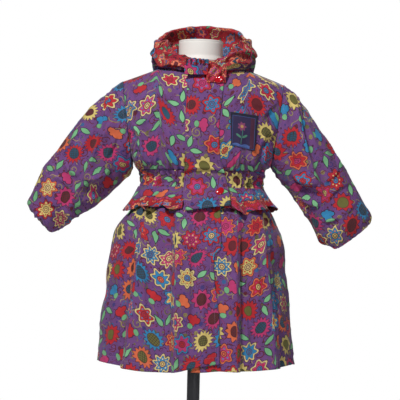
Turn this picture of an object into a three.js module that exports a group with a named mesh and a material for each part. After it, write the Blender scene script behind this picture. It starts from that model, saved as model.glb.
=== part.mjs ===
// A child's hooded coat with a gathered waist, a short frill and a flared skirt, on a limbless dress form.
// Millimetres, +Z up. The front faces -Y, so the wearer's left is +X. The origin is the middle of the
// stand's underside.

import * as THREE from 'three';

// Driving sizes

const CLOTH = 1.6;              // wall of the printed cotton, two plies where it is lined
const THIN = 1.2;               // single cloth, in the frill, the patch and the shirred waist
const SEAM = 0.3;               // space between neighbouring pieces
const FULLNESS = 2.3;           // 2 would make a body section an ellipse, and more makes it squarer
const MIDDLE = 6.5;             // the coat hangs this far towards the wearer's left of the form's pole

const RIDGE_TOP = 1031;         // the two shoulder lines would meet at this height
const RIDGE_SLOPE = 0.375;      // fall of a shoulder line for each millimetre out
const RIDGE_ROUND = 70;         // depth over which the cloth rounds over a shoulder
const SHOULDER_OUT = 175;       // the dropped shoulder point, out from the middle
const ROW_CROWD = 1.5;          // crowds a panel's rows towards the shoulder, where it turns
const ARMPIT_OUT = 150;
const ARMPIT_HEIGHT = 784;
const ARMHOLE_DEPTH = 62;       // half the armhole's depth, front to back
const ARMHOLE_MIDDLE = 872;     // below this height the armhole closes towards the armpit

const NECK_OUT = 98;            // half the neckline's width
const NECK_FRONT = 984;         // height of the neckline at the middle of the front
const NECK_BACK = 1001;

const WAIST_TOP = 772;          // the shirred waist runs from here
const WAIST_END = 728;          // down to the seam of the skirt
const HEM_SIDE = 357;

const FRILL_TOP = 736;
const BAND_TOP = 711;
const FRILL_END = 690;

const FORM_GAP = 0.4;           // the coat's shoulders lie this close to the form
const NECK_RADIUS = 48.5;
const NECK_TOP = 1057;
const POLE_RADIUS = 14;
const BASE_RADIUS = 150;
const BASE_HEIGHT = 16;
const BOSS = 26;                // height of the base's socket for the pole
const FLANGE = 12;
const CAP = 4;

const BUTTON_LONG = 20;
const BUTTON_WIDE = 16;
const BUTTON_THICK = 3.6;

const PATCH_CLEAR = 1.1;

// The breast patch's corners, from the upper one nearest the opening, as seen from the front

const PATCH = [
  { x: 66, z: 898 },
  { x: 126, z: 891 },
  { x: 120, z: 816 },
  { x: 69, z: 828 },
];

// The red tab at the neck, over the hood's front end and the flap's top

const TAB = [
  { height: 960, right: 14, left: 55, forward: 91, round: 0.0018 },
  { height: 975, right: 13, left: 56, forward: 90.2, round: 0.0022 },
  { height: 990, right: 14, left: 56, forward: 89, round: 0.003 },
  { height: 1004, right: 17, left: 53, forward: 82, round: 0.003 },
];

// Half sizes of the coat's body, from the middle: to the wearer's right and left, forward and back

const BODICE = [
  { height: 760, front: 85, back: 83 },
  { height: 790, front: 96, back: 91 },
  { height: 835, front: 103, back: 97 },
  { height: 890, front: 99, back: 98 },
  { height: 940, front: 91, back: 92 },
  { height: 985, front: 78, back: 82 },
  { height: 1035, front: 74, back: 76 },
];

const SIDES = [
  { height: 752, right: 133, left: 135 },
  { height: 772, right: 140, left: 142 },
  { height: 784, right: 150, left: 152 },
];

const WAIST = [
  { height: 726, right: 136, left: 137, front: 85, back: 83 },
  { height: 752, right: 133, left: 135, front: 83, back: 81 },
  { height: 774, right: 140, left: 142, front: 90, back: 86 },
];

const SKIRT = [
  { height: 340, right: 222, left: 217, front: 150, back: 157 },
  { height: 427, right: 215, left: 204, front: 146, back: 152 },
  { height: 484, right: 209, left: 197, front: 142, back: 147 },
  { height: 568, right: 197, left: 187, front: 134, back: 137 },
  { height: 614, right: 183, left: 179, front: 127, back: 128 },
  { height: 641, right: 174, left: 172, front: 120, back: 120 },
  { height: 672, right: 158, left: 159, front: 108, back: 107 },
  { height: 690, right: 147, left: 149, front: 99, back: 98 },
  { height: 705, right: 139, left: 141, front: 91, back: 89 },
  { height: 728, right: 132, left: 133, front: 83, back: 81 },
];

const FRILL = [
  { height: 672, right: 171, left: 172, front: 122, back: 121 },
  { height: 690, right: 164, left: 164, front: 115, back: 114 },
  { height: 705, right: 154, left: 154, front: 106, back: 103 },
  { height: 720, right: 146, left: 147, front: 98, back: 96 },
  { height: 738, right: 136.2, left: 137.4, front: 86.4, back: 84.4 },
];

// The front flap: its two edges and how far forward it hangs

const FLAP = [
  { height: 684, right: -22, left: 71, forward: 116 },
  { height: 699, right: -28, left: 71, forward: 113.5 },
  { height: 722, right: -31, left: 68, forward: 104 },
  { height: 745, right: -30, left: 63, forward: 94 },
  { height: 776, right: -29, left: 54, forward: 95.5 },
  { height: 799, right: -29, left: 47, forward: 101 },
  { height: 867, right: -29, left: 43, forward: 104 },
  { height: 925, right: -28, left: 48, forward: 96 },
  { height: 985, right: -27, left: 53, forward: 80 },
];
const FLAP_RIGHT = -30;         // its right edge, where it is sewn to the right front
const FLAP_FREE = 792;          // below this height the flap hangs free of the bodice
const FLAP_CLEAR = 1.4;         // it lies this far over the panels beneath
const FLAP_TUCK = 10;           // it laps this far over the edge of the right front

// Sleeve sections: the upper and lower edge as seen from the front, the half depth, how far forward

const RIGHT_SLEEVE = [
  { topX: -198, topZ: 943, endX: -152, endZ: 762, depth: 62, forward: 0 },
  { topX: -228, topZ: 917, endX: -172, endZ: 741, depth: 60, forward: 2 },
  { topX: -256, topZ: 882, endX: -195, endZ: 716, depth: 57, forward: 4 },
  { topX: -281, topZ: 850, endX: -220, endZ: 696, depth: 54, forward: 6 },
  { topX: -304, topZ: 816, endX: -243, endZ: 677, depth: 51, forward: 8 },
  { topX: -328, topZ: 785, endX: -265, endZ: 660, depth: 47, forward: 10 },
  { topX: -346, topZ: 751, endX: -283, endZ: 649, depth: 42, forward: 12 },
  { topX: -359, topZ: 718, endX: -300, endZ: 641, depth: 37, forward: 13 },
  { topX: -368, topZ: 692, endX: -316, endZ: 634, depth: 30, forward: 14 },
  { topX: -362, topZ: 677, endX: -330, endZ: 640, depth: 19, forward: 14 },
];

const LEFT_SLEEVE = [
  { topX: 205, topZ: 948, endX: 171, endZ: 766, depth: 62, forward: 0 },
  { topX: 229, topZ: 921, endX: 187, endZ: 747, depth: 60, forward: 2 },
  { topX: 251, topZ: 888, endX: 205, endZ: 726, depth: 57, forward: 4 },
  { topX: 273, topZ: 857, endX: 220, endZ: 704, depth: 55, forward: 6 },
  { topX: 295, topZ: 822, endX: 234, endZ: 681, depth: 53, forward: 8 },
  { topX: 316, topZ: 785, endX: 248, endZ: 658, depth: 51, forward: 10 },
  { topX: 337, topZ: 747, endX: 262, endZ: 637, depth: 48, forward: 12 },
  { topX: 359, topZ: 710, endX: 276, endZ: 621, depth: 45, forward: 13 },
  { topX: 377, topZ: 676, endX: 296, endZ: 613, depth: 38, forward: 14 },
  { topX: 370, topZ: 656, endX: 314, endZ: 612, depth: 24, forward: 14 },
];

// Large folds: where along and around a sleeve each lies, its reach both ways, and its height

const SLEEVE_FOLDS = [
  { along: 0.30, around: 0.10, reach: 0.30, width: 0.07, height: 7 },
  { along: 0.42, around: 0.30, reach: 0.22, width: 0.08, height: -6 },
  { along: 0.58, around: 0.90, reach: 0.24, width: 0.07, height: 7 },
  { along: 0.68, around: 0.22, reach: 0.08, width: 0.16, height: 6 },
  { along: 0.80, around: 0.74, reach: 0.07, width: 0.18, height: 6 },
  { along: 0.60, around: 0.52, reach: 0.10, width: 0.14, height: -5 },
  { along: 0.90, around: 0.02, reach: 0.06, width: 0.16, height: 4 },
];

// Pleat edges of the skirt, in millimetres of width from the middle at the waist and at the hem

const FRONT_PLEATS = [
  { top: -112, hem: -157, height: 8 },
  { top: -52, hem: -48, height: 7 },
  { top: 78, hem: 84, height: 8 },
  { top: 128, hem: 172, height: 6 },
];
const BACK_PLEATS = [
  { top: -92, hem: -140, height: 8 },
  { top: -38, hem: -52, height: 7 },
  { top: 38, hem: 52, height: 7 },
  { top: 92, hem: 140, height: 8 },
];

// The skirt's front edges: the upper front ends at lap, and the under front starts at under

const OPENING = [
  { height: 340, lap: 55, under: -6 },
  { height: 464, lap: 50, under: -6 },
  { height: 534, lap: 40, under: -6 },
  { height: 592, lap: 38, under: -6 },
  { height: 607, lap: 50, under: -4 },
  { height: 688, lap: 48, under: -2 },
  { height: 728, lap: 46, under: -2 },
];

// The hood, folded down: for each direction round the neck from the front, places outward and upward
// from the neckline, of the turn over the shoulders, the bottom of its bag, its outer bulge and its rim

const HOOD_OUTER = [
  { turn: 0, overOut: 1, overUp: 1, bagOut: 3, bagUp: 1, bulgeOut: 6, bulgeUp: 2, rimOut: 8, rimUp: 4 },
  { turn: 45, overOut: 1, overUp: 2, bagOut: 3, bagUp: 4, bulgeOut: 8, bulgeUp: 8, rimOut: 10, rimUp: 14 },
  { turn: 90, overOut: 1, overUp: 4, bagOut: 3, bagUp: 9, bulgeOut: 5, bulgeUp: 17, rimOut: 5.5, rimUp: 25 },
  { turn: 125, overOut: 11, overUp: 5, bagOut: 25, bagUp: 8, bulgeOut: 35, bulgeUp: 18, rimOut: 34.5, rimUp: 38 },
  { turn: 155, overOut: 24, overUp: -2, bagOut: 56, bagUp: -56, bulgeOut: 75, bulgeUp: -32, rimOut: 63.5, rimUp: 48 },
  { turn: 180, overOut: 26, overUp: -8, bagOut: 54, bagUp: -96, bulgeOut: 78, bulgeUp: -58, rimOut: 67.5, rimUp: 50 },
];

const HOOD_START = 2;
const HOOD_END = 359.2;

// Its lining, turned out over the rim: the lip outside, the crest, the inside, its dip into the bag and
// the foot by the neck

const HOOD_RIM = [
  { turn: 0, lipOut: 12, lipUp: 2, crestOut: 4, crestUp: 17, inOut: -5, inUp: 14 },
  { turn: 45, lipOut: 15, lipUp: 10, crestOut: 3, crestUp: 34, inOut: -13, inUp: 28 },
  { turn: 90, lipOut: 10, lipUp: 20, crestOut: -8, crestUp: 60, inOut: -31, inUp: 52 },
  { turn: 125, lipOut: 39, lipUp: 36, crestOut: 22, crestUp: 68, inOut: 8, inUp: 50 },
  { turn: 155, lipOut: 67, lipUp: 50, crestOut: 51, crestUp: 90, inOut: 44, inUp: 50 },
  { turn: 180, lipOut: 71, lipUp: 52, crestOut: 56, crestUp: 99, inOut: 51, inUp: 46 },
];
const HOOD_INSIDE = [
  { turn: 0, dipOut: -8, dipUp: 9, footOut: -9, footUp: 5 },
  { turn: 45, dipOut: -16, dipUp: 20, footOut: -18, footUp: 14 },
  { turn: 90, dipOut: -36, dipUp: 38, footOut: -37, footUp: 24 },
  { turn: 125, dipOut: 1, dipUp: 24, footOut: -10, footUp: 16 },
  { turn: 155, dipOut: 44, dipUp: -6, footOut: 10, footUp: 10 },
  { turn: 180, dipOut: 50, dipUp: -24, footOut: 14, footUp: 10 },
];

// The form, from the bottom up: half sizes about a middle that moves over from the pole

const FORM = [
  { height: 560, width: 86, front: 62, back: 66, middle: 3 },
  { height: 566, width: 96, front: 70, back: 74, middle: 3 },
  { height: 590, width: 108, front: 78, back: 84, middle: 4 },
  { height: 640, width: 112, front: 78, back: 86, middle: 5 },
  { height: 700, width: 106, front: 72, back: 78, middle: 6 },
  { height: 755, width: 98, front: 69, back: 68, middle: 6.5 },
  { height: 820, width: 105, front: 76, back: 74, middle: 6.5 },
  { height: 880, width: 113, front: 80, back: 80, middle: 6.5 },
  { height: 925, width: 119, front: 72, back: 76, middle: 6.5 },
];
const FORM_SHOULDER = [
  { out: 119, front: 38, back: 39, middle: 6.5 },
  { out: 110, front: 40, back: 41, middle: 6.5 },
  { out: 98, front: 42, back: 43, middle: 6 },
  { out: 80, front: 41, back: 42, middle: 4 },
  { out: 62, front: 43, back: 44, middle: 1.5 },
];

// Colours

const printed = new THREE.MeshStandardMaterial({ color: 0x70488c, roughness: 0.85, metalness: 0 });
const redPrint = new THREE.MeshStandardMaterial({ color: 0xb82030, roughness: 0.85, metalness: 0 });
const patchCloth = new THREE.MeshStandardMaterial({ color: 0x2e2a5c, roughness: 0.7, metalness: 0 });
const buttonRed = new THREE.MeshStandardMaterial({ color: 0xc81020, roughness: 0.2, metalness: 0 });
const formWhite = new THREE.MeshStandardMaterial({ color: 0xe6e4e0, roughness: 0.5, metalness: 0 });
const standGrey = new THREE.MeshStandardMaterial({ color: 0x4c4c50, roughness: 0.4, metalness: 0.4 });

// Small tools

const TURN = 2 * Math.PI;

function mix(a, b, t) {
  return a + (b - a) * t;
}

function clamp(t) {
  return Math.min(1, Math.max(0, t));
}

function ease(t) {
  const c = clamp(t);
  return c * c * (3 - 2 * c);
}

// One named column of a table, read smoothly at a value of its key column, which rises down the table.
function read(table, key, at, column) {
  const last = table.length - 1;
  const x = Math.min(table[last][key], Math.max(table[0][key], at));
  let i = 0;
  while (i < last - 1 && x > table[i + 1][key]) i += 1;
  const slope = (a, b) => (table[b][column] - table[a][column]) / (table[b][key] - table[a][key]);
  const width = table[i + 1][key] - table[i][key];
  const t = (x - table[i][key]) / width;
  const before = slope(Math.max(0, i - 1), i + 1) * width;
  const after = slope(i, Math.min(last, i + 2)) * width;
  const rise = table[i + 1][column] - table[i][column];
  return table[i][column] + t * (before + t * (3 * rise - 2 * before - after + t * (before + after - 2 * rise)));
}

// The place on a rounded body section at an angle from the front towards the wearer's left.
function onBody(table, height, angle, out = 0) {
  const side = Math.sin(angle);
  const face = Math.cos(angle);
  const width = read(table, 'height', height, side < 0 ? 'right' : 'left');
  const depth = read(table, 'height', height, face > 0 ? 'front' : 'back');
  const radius = (Math.abs(side / width) ** FULLNESS + Math.abs(face / depth) ** FULLNESS) ** (-1 / FULLNESS) + out;
  return new THREE.Vector3(MIDDLE + radius * side, -radius * face, height);
}

// The angle at which a body section reaches a place across, on its front half.
function angleAcross(table, height, across) {
  let angle = 0;
  for (let step = 0; step < 12; step += 1) {
    const point = onBody(table, height, angle);
    const radius = Math.hypot(point.x - MIDDLE, point.y);
    angle = Math.asin(clamp(Math.abs(across - MIDDLE) / radius)) * Math.sign(across - MIDDLE);
  }
  return angle;
}

// A cloth wall. point(u, v) is its outer face: u runs from the wearer's right over the front to the
// left, or the same way round a tube, and v runs down. The inner face lies one thickness inside, and
// keep holds its points on their own side of a seam.
function wall({ point, across, down, thickness = CLOTH, closed = false, keep = (p) => p }) {
  const columns = closed ? across : across + 1;
  const outer = [];
  for (let j = 0; j <= down; j += 1) {
    for (let i = 0; i < columns; i += 1) outer.push(point(i / across, j / down));
  }
  const at = (i, j) => j * columns + (closed ? (i + columns) % columns : Math.min(columns - 1, Math.max(0, i)));
  const inner = outer.map((p, k) => {
    const i = k % columns;
    const j = Math.floor(k / columns);
    const along = outer[at(i + 1, j)].clone().sub(outer[at(i - 1, j)]);
    const fall = outer[at(i, Math.min(down, j + 1))].clone().sub(outer[at(i, Math.max(0, j - 1))]);
    return keep(along.cross(fall).normalize().multiplyScalar(thickness).add(p));
  });
  const count = outer.length;
  const faces = [];
  const quad = (a, b, c, d) => faces.push(a, b, c, a, c, d);
  const spans = closed ? columns : across;
  for (let j = 0; j < down; j += 1) {
    for (let i = 0; i < spans; i += 1) {
      quad(at(i, j), at(i, j + 1), at(i + 1, j + 1), at(i + 1, j));
      quad(count + at(i, j), count + at(i + 1, j), count + at(i + 1, j + 1), count + at(i, j + 1));
    }
  }
  for (let i = 0; i < spans; i += 1) {
    quad(at(i, 0), at(i + 1, 0), count + at(i + 1, 0), count + at(i, 0));
    quad(at(i + 1, down), at(i, down), count + at(i, down), count + at(i + 1, down));
  }
  if (!closed) {
    for (let j = 0; j < down; j += 1) {
      quad(at(0, j + 1), at(0, j), count + at(0, j), count + at(0, j + 1));
      quad(at(across, j), at(across, j + 1), count + at(across, j + 1), count + at(across, j));
    }
  }
  return solidOf([...outer, ...inner], faces);
}

function solidOf(points, faces) {
  const geometry = new THREE.BufferGeometry();
  geometry.setAttribute('position', new THREE.Float32BufferAttribute(points.flatMap((p) => p.toArray()), 3));
  geometry.setIndex(faces);
  geometry.computeVertexNormals();
  return geometry;
}

// A solid of stacked rings, closed at both ends by a fan; the rings turn the same way as a body section.
function stack(rings) {
  const sides = rings[0].length;
  const points = rings.flat();
  const faces = [];
  for (let j = 0; j + 1 < rings.length; j += 1) {
    for (let i = 0; i < sides; i += 1) {
      const k = (i + 1) % sides;
      faces.push(j * sides + i, j * sides + k, (j + 1) * sides + k);
      faces.push(j * sides + i, (j + 1) * sides + k, (j + 1) * sides + i);
    }
  }
  const last = (rings.length - 1) * sides;
  const middleOf = (ring) => ring.reduce((sum, p) => sum.add(p), new THREE.Vector3()).divideScalar(sides);
  points.push(middleOf(rings[0]), middleOf(rings[rings.length - 1]));
  for (let i = 0; i < sides; i += 1) {
    const k = (i + 1) % sides;
    faces.push(points.length - 2, k, i);
    faces.push(points.length - 1, last + i, last + k);
  }
  return solidOf(points, faces);
}

const coat = new THREE.Group();

function piece(name, geometry, material) {
  const mesh = new THREE.Mesh(geometry, material);
  mesh.name = name;
  coat.add(mesh);
  return mesh;
}

// The bodice's surface, as a depth over its front or back view

function ridgeAt(x) {
  return RIDGE_TOP - RIDGE_SLOPE * Math.abs(x - MIDDLE);
}

function sideAt(height, x) {
  const rise = (height - ARMPIT_HEIGHT) / (ridgeAt(MIDDLE + SHOULDER_OUT) - ARMPIT_HEIGHT);
  const flare = height > ARMPIT_HEIGHT ? mix(ARMPIT_OUT, SHOULDER_OUT, rise) : ARMPIT_OUT;
  const side = read(SIDES, 'height', height, x < MIDDLE ? 'right' : 'left');
  return height > ARMPIT_HEIGHT ? flare + side - ARMPIT_OUT : side;
}

function bodiceDepth(x, height, face) {
  const full = read(BODICE, 'height', height, face);
  const closing = clamp((ARMHOLE_MIDDLE - height) / (ARMHOLE_MIDDLE - ARMPIT_HEIGHT));
  const atSide = height > ARMPIT_HEIGHT ? ARMHOLE_DEPTH * Math.sqrt(1 - closing ** 2) : 0;
  const power = mix(1 / FULLNESS, 1, ease((height - ARMPIT_HEIGHT) / 70));
  const share = Math.max(0, 1 - (Math.abs(x - MIDDLE) / sideAt(height, x)) ** FULLNESS) ** power;
  const under = clamp((ridgeAt(x) - height) / RIDGE_ROUND);
  return (atSide + (full - atSide) * share) * Math.sqrt(1 - (1 - under) ** 2);
}

function onBodice(x, height, face, out = 0) {
  const sign = face === 'front' ? -1 : 1;
  return new THREE.Vector3(x, sign * (bodiceDepth(x, height, face) + out), height);
}

// Folds that rise from the shirred waist and fade by the chest, none of them under the flap.
function waistFolds(x, height, face) {
  const near = 1 - ease((height - WAIST_TOP) / 95);
  const clear = face === 'front' ? ease((Math.abs(x - 18) - 52) / 22) : 1;
  const edge = ease((sideAt(height, x) - Math.abs(x - MIDDLE)) / 16);
  return 3 * near * clear * edge * Math.sin(TURN * (x / 27 + 0.12 * Math.sin(x / 31)));
}

function necklineHeight(x, face) {
  const low = face === 'front' ? NECK_FRONT : NECK_BACK;
  const share = clamp(Math.abs(x - MIDDLE) / NECK_OUT);
  return mix(low, ridgeAt(MIDDLE + NECK_OUT), share ** 3);
}

// A point of a front or back panel: s runs from -1 at its right edge to 1 at its left one, v runs down.
function bodicePoint(s, v, face) {
  const topX = MIDDLE + s * (SHOULDER_OUT - SEAM);
  const top = Math.abs(topX - MIDDLE) < NECK_OUT ? necklineHeight(topX, face) : ridgeAt(topX);
  const height = mix(top - SEAM, WAIST_TOP, v);
  const x = MIDDLE + s * (sideAt(height, topX) - SEAM);
  const out = waistFolds(x, height, face);
  const point = onBodice(x, height, face, out);
  point.y += (face === 'front' ? -1 : 1) * SEAM;
  return point;
}

// The inner face of a panel stays on its own side of the shoulder, side and armhole seams.
function insideBodice(face) {
  const sign = face === 'front' ? -1 : 1;
  return (p) => {
    const reach = sideAt(p.z, p.x) - SEAM;
    p.y = sign * Math.max(SEAM, sign * p.y);
    p.z = Math.max(WAIST_TOP, p.z);
    p.x = Math.min(MIDDLE + reach, Math.max(MIDDLE - reach, p.x));
    return p;
  };
}

function bodice() {
  const rightEdge = (FLAP_RIGHT + FLAP_TUCK - MIDDLE) / SHOULDER_OUT;
  const leftEdge = rightEdge + 0.04;
  piece('bodice_front_right', wall({
    point: (u, v) => bodicePoint(mix(-1, rightEdge, u), v ** ROW_CROWD, 'front'),
    across: 18,
    down: 10,
    keep: insideBodice('front'),
  }), printed);
  piece('bodice_front_left', wall({
    point: (u, v) => bodicePoint(mix(leftEdge, 1, u), v ** ROW_CROWD, 'front'),
    across: 22,
    down: 10,
    keep: insideBodice('front'),
  }), printed);
  piece('bodice_back', wall({
    point: (u, v) => bodicePoint(mix(1, -1, u), v ** ROW_CROWD, 'back'),
    across: 34,
    down: 10,
    keep: insideBodice('back'),
  }), printed);
}

// The sleeves: the first ring is the bodice's own armhole, and the rest are oval sections

function armholePoint(side, angle) {
  const top = ridgeAt(MIDDLE + SHOULDER_OUT);
  const height = mix(top, ARMPIT_HEIGHT, (1 - Math.cos(angle)) / 2);
  const away = side < 0 ? MIDDLE - 1 : MIDDLE + 1;
  const reach = sideAt(height, away);
  const around = side * Math.sin(angle);
  const face = around < 0 ? 'front' : 'back';
  const depth = bodiceDepth(MIDDLE + side * (reach - 0.5), height, face);
  return new THREE.Vector3(MIDDLE + side * (reach + SEAM), Math.sign(around) * depth, height);
}

function sleeveRing(row, side, angle) {
  const share = (1 - Math.cos(angle)) / 2;
  const y = side * Math.sin(angle) * row.depth - row.forward;
  return new THREE.Vector3(mix(row.topX, row.endX, share), y, mix(row.topZ, row.endZ, share));
}

function sleeveFold(u, v) {
  let out = 0;
  for (const fold of SLEEVE_FOLDS) {
    const turn = Math.abs(u - fold.around);
    const round = Math.min(turn, 1 - turn) / fold.width;
    out += fold.height * Math.exp(-(((v - fold.along) / fold.reach) ** 2) - round ** 2);
  }
  return out + 1.6 * ease((v - 0.86) / 0.14) * Math.sin(TURN * 8 * u);
}

function sleeve(name, side, table) {
  const curves = new Map();
  const curveAt = (u) => {
    if (!curves.has(u)) {
      const points = table.map((row) => sleeveRing(row, side, TURN * u));
      curves.set(u, new THREE.CatmullRomCurve3([armholePoint(side, TURN * u), ...points]));
    }
    return curves.get(u);
  };
  const point = (u, v) => {
    const place = curveAt(u).getPoint(v);
    const axis = curveAt(u).getPoint(v).lerp(curveAt((u + 0.5) % 1).getPoint(v), 0.5);
    const away = place.clone().sub(axis).normalize();
    return place.addScaledVector(away, v > 0 ? sleeveFold(u, v) * ease(v / 0.12) : 0);
  };
  const keep = (p) => {
    if (p.z > ARMPIT_HEIGHT - 6) {
      const reach = sideAt(Math.max(ARMPIT_HEIGHT, p.z), side < 0 ? MIDDLE - 1 : MIDDLE + 1) + SEAM;
      p.x = MIDDLE + side * Math.max(reach, side * (p.x - MIDDLE));
    }
    return p;
  };
  piece(name, wall({ point, across: 18, down: 13, closed: true, keep }), printed);
}

// The shirred waist, in small even gathers, flat under the flap

const GATHERS = 28;

function waistPoint(angle, height) {
  const flat = onBody(WAIST, height, angle);
  const clear = Math.cos(angle) > 0 ? ease((Math.abs(flat.x - 18) - 52) / 16) : 1;
  const swell = 0.55 + 0.45 * Math.cos(Math.PI * (height - WAIST_END) / (WAIST_TOP - WAIST_END) * 2);
  return onBody(WAIST, height, angle, -0.9 + 1.5 * clear * swell * Math.sin(GATHERS * angle));
}

function seamAngle(side, inside) {
  return side * (Math.PI / 2 - inside * SEAM / 140);
}

function waist() {
  const height = (v) => mix(WAIST_TOP - SEAM, WAIST_END + SEAM, v);
  const part = (name, from, to, across) => piece(name, wall({
    point: (u, v) => waistPoint(mix(from(height(v)), to(height(v)), u), height(v)),
    across,
    down: 2,
    thickness: THIN,
    keep: (p) => p.setZ(Math.min(p.z, WAIST_TOP - SEAM)),
  }), printed);
  const rightEdge = FLAP_RIGHT + FLAP_TUCK;
  part('waist_front_right', () => seamAngle(-1, 1), (z) => angleAcross(WAIST, z, rightEdge), 28);
  part('waist_front_left', (z) => angleAcross(WAIST, z, rightEdge + 7), () => seamAngle(1, 1), 32);
  part('waist_back', () => seamAngle(1, -1), () => TURN + seamAngle(-1, -1), 56);
}

// The skirt: pleat edges stand up on one side, over soft waves that grow towards the hem

function pleatShape(x) {
  return x < 0
    ? Math.exp(-((x / 22) ** 2))
    : 1.6 * Math.exp(-((x / 6) ** 2)) - 0.6 * Math.exp(-((x / 26) ** 2));
}

function skirtFolds(angle, height) {
  const fall = clamp((WAIST_END - height) / (WAIST_END - 340));
  const pleats = Math.cos(angle) > 0 ? FRONT_PLEATS : BACK_PLEATS;
  const x = onBody(SKIRT, height, angle).x - MIDDLE;
  let out = 3.2 * fall * Math.sin(13 * angle + 1.2 * Math.sin(2 * angle));
  for (const pleat of pleats) {
    const edge = mix(pleat.top, pleat.hem, fall);
    out += pleat.height * ease(fall * 2.5) * pleatShape((x - edge) * Math.sign(edge));
  }
  return out * ease((Math.PI / 2 - Math.abs(Math.abs(angle - (angle > Math.PI / 2 ? Math.PI : 0)))) / 0.16);
}

function skirtPoint(angle, height, lift = 0) {
  return onBody(SKIRT, height, angle, skirtFolds(angle, height) + lift);
}

function skirtPanel(name, { from, to, hem, lift = () => 0, across, down }) {
  const guess = (u) => mix(from(400), to(400), u);
  const height = (u, v) => mix(WAIST_END - SEAM, hem(onBody(SKIRT, 345, guess(u)).x), v);
  const angle = (u, v) => mix(from(height(u, v)), to(height(u, v)), u);
  piece(name, wall({
    point: (u, v) => skirtPoint(angle(u, v), height(u, v), lift(onBody(SKIRT, height(u, v), angle(u, v)).x)),
    across,
    down,
  }), printed);
}

const LAP_LIFT = 3.4;           // the upper front lies this far over the under one

function skirt() {
  const lapAngle = (z) => angleAcross(SKIRT, z, read(OPENING, 'height', z, 'lap'));
  const underAngle = (z) => angleAcross(SKIRT, z, read(OPENING, 'height', z, 'under'));
  skirtPanel('skirt_front_right', {
    from: () => seamAngle(-1, 1),
    to: lapAngle,
    hem: (x) => HEM_SIDE - 12 * ease((x + 215) / 120) + 19 * ease((x + 62) / 110),
    lift: (x) => LAP_LIFT * ease((x + 48) / 38),
    across: 28,
    down: 8,
  });
  skirtPanel('skirt_front_left', {
    from: underAngle,
    to: () => seamAngle(1, 1),
    hem: (x) => 350 + 6 * ease((x - 120) / 90) - 3 * ease((60 - x) / 60),
    across: 24,
    down: 8,
  });
  skirtPanel('skirt_back', {
    from: () => seamAngle(1, -1),
    to: () => TURN + seamAngle(-1, -1),
    hem: () => HEM_SIDE - 6,
    across: 40,
    down: 8,
  });
}

// The frill and the red band along its edge, in waves that open downwards

const FRILL_WAVES = 19;

function frillPoint(angle, height) {
  const fall = clamp((FRILL_TOP - height) / (FRILL_TOP - FRILL_END));
  const wave = Math.sin(FRILL_WAVES * angle + 0.9 * Math.sin(3 * angle) + 0.5);
  const point = onBody(FRILL, height, angle, (0.5 + 8 * fall ** 1.5) * wave);
  point.z += fall * (3.5 * Math.sin(FRILL_WAVES * angle + 2) + 5.5 * Math.sin(5 * angle + 1));
  return point;
}

function frill() {
  const parts = [
    { end: 'front_right', from: () => seamAngle(-1, 1), to: () => angleAcross(FRILL, 700, -34), across: 27 },
    { end: 'front_left', from: () => angleAcross(FRILL, 700, 55), to: () => seamAngle(1, 1), across: 25 },
    { end: 'back', from: () => seamAngle(1, -1), to: () => TURN + seamAngle(-1, -1), across: 56 },
  ];
  for (const { end, from, to, across } of parts) {
    const strip = (top, low) => ({
      point: (u, v) => frillPoint(mix(from(), to(), u), mix(top, low, v)),
      across,
      down: 1,
      thickness: THIN,
    });
    piece(`frill_${end}`, wall(strip(FRILL_TOP, BAND_TOP + SEAM)), printed);
    piece(`frill_band_${end}`, wall(strip(BAND_TOP, FRILL_END)), redPrint);
  }
}

// The flap over the front opening, sewn along the right front's edge and hanging free at the waist

function flapPoint(x, height) {
  const free = 1 - ease((height - FLAP_FREE) / 40);
  const hanging = read(FLAP, 'height', height, 'forward') - 0.0009 * (x - 20) ** 2;
  const lying = bodiceDepth(x, height, 'front') + CLOTH + FLAP_CLEAR;
  return new THREE.Vector3(x, -Math.max(mix(lying, hanging, free), height > WAIST_TOP ? lying : 0), height);
}

function flap() {
  const low = (u) => mix(686, 699, u);
  const height = (u, v) => mix(NECK_FRONT - 2, low(u), v ** 1.2);
  const across = (u, z) => mix(read(FLAP, 'height', z, 'right'), read(FLAP, 'height', z, 'left'), u);
  piece('front_flap', wall({
    point: (u, v) => flapPoint(across(u, height(u, v)), height(u, v)),
    across: 7,
    down: 14,
  }), printed);
}

// The hood, folded down round the neck, and its lining turned out over the rim

function necklinePoint(turn) {
  const x = MIDDLE + (NECK_OUT - 1) * Math.sin(turn);
  const face = Math.cos(turn) > 0 ? 'front' : 'back';
  const height = necklineHeight(x, face);
  return onBodice(x, height + SEAM, face);
}

function hoodPoint(turn, names, share) {
  const seam = necklinePoint(turn);
  const away = new THREE.Vector3(seam.x - MIDDLE, seam.y, 0).normalize();
  const degrees = THREE.MathUtils.radToDeg(Math.abs(Math.PI - Math.abs(Math.PI - turn)));
  const placeOf = (name) => {
    const table = [HOOD_OUTER, HOOD_RIM, HOOD_INSIDE].find((rows) => `${name}Out` in rows[0]);
    return new THREE.Vector3(read(table, 'turn', degrees, `${name}Out`), 0, read(table, 'turn', degrees, `${name}Up`));
  };
  const places = names.map((name) => (name === 'seam' ? new THREE.Vector3(0, 0, 0.5) : placeOf(name)));
  const place = new THREE.CatmullRomCurve3(places).getPoint(share);
  return seam.addScaledVector(away, place.x).setZ(seam.z + place.z);
}

function hood() {
  const turn = (u) => THREE.MathUtils.degToRad(mix(HOOD_START, HOOD_END, u));
  piece('hood_outer', wall({
    point: (u, v) => hoodPoint(turn(u), ['rim', 'bulge', 'bag', 'over', 'seam'], v),
    across: 28,
    down: 6,
  }), printed);
  piece('hood_lining', wall({
    point: (u, v) => hoodPoint(turn(u), ['foot', 'dip', 'in', 'crest', 'lip'], v),
    across: 28,
    down: 8,
  }), redPrint);
}

// What lies on the panels: the breast patch, the red neck tab and the two buttons

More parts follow.
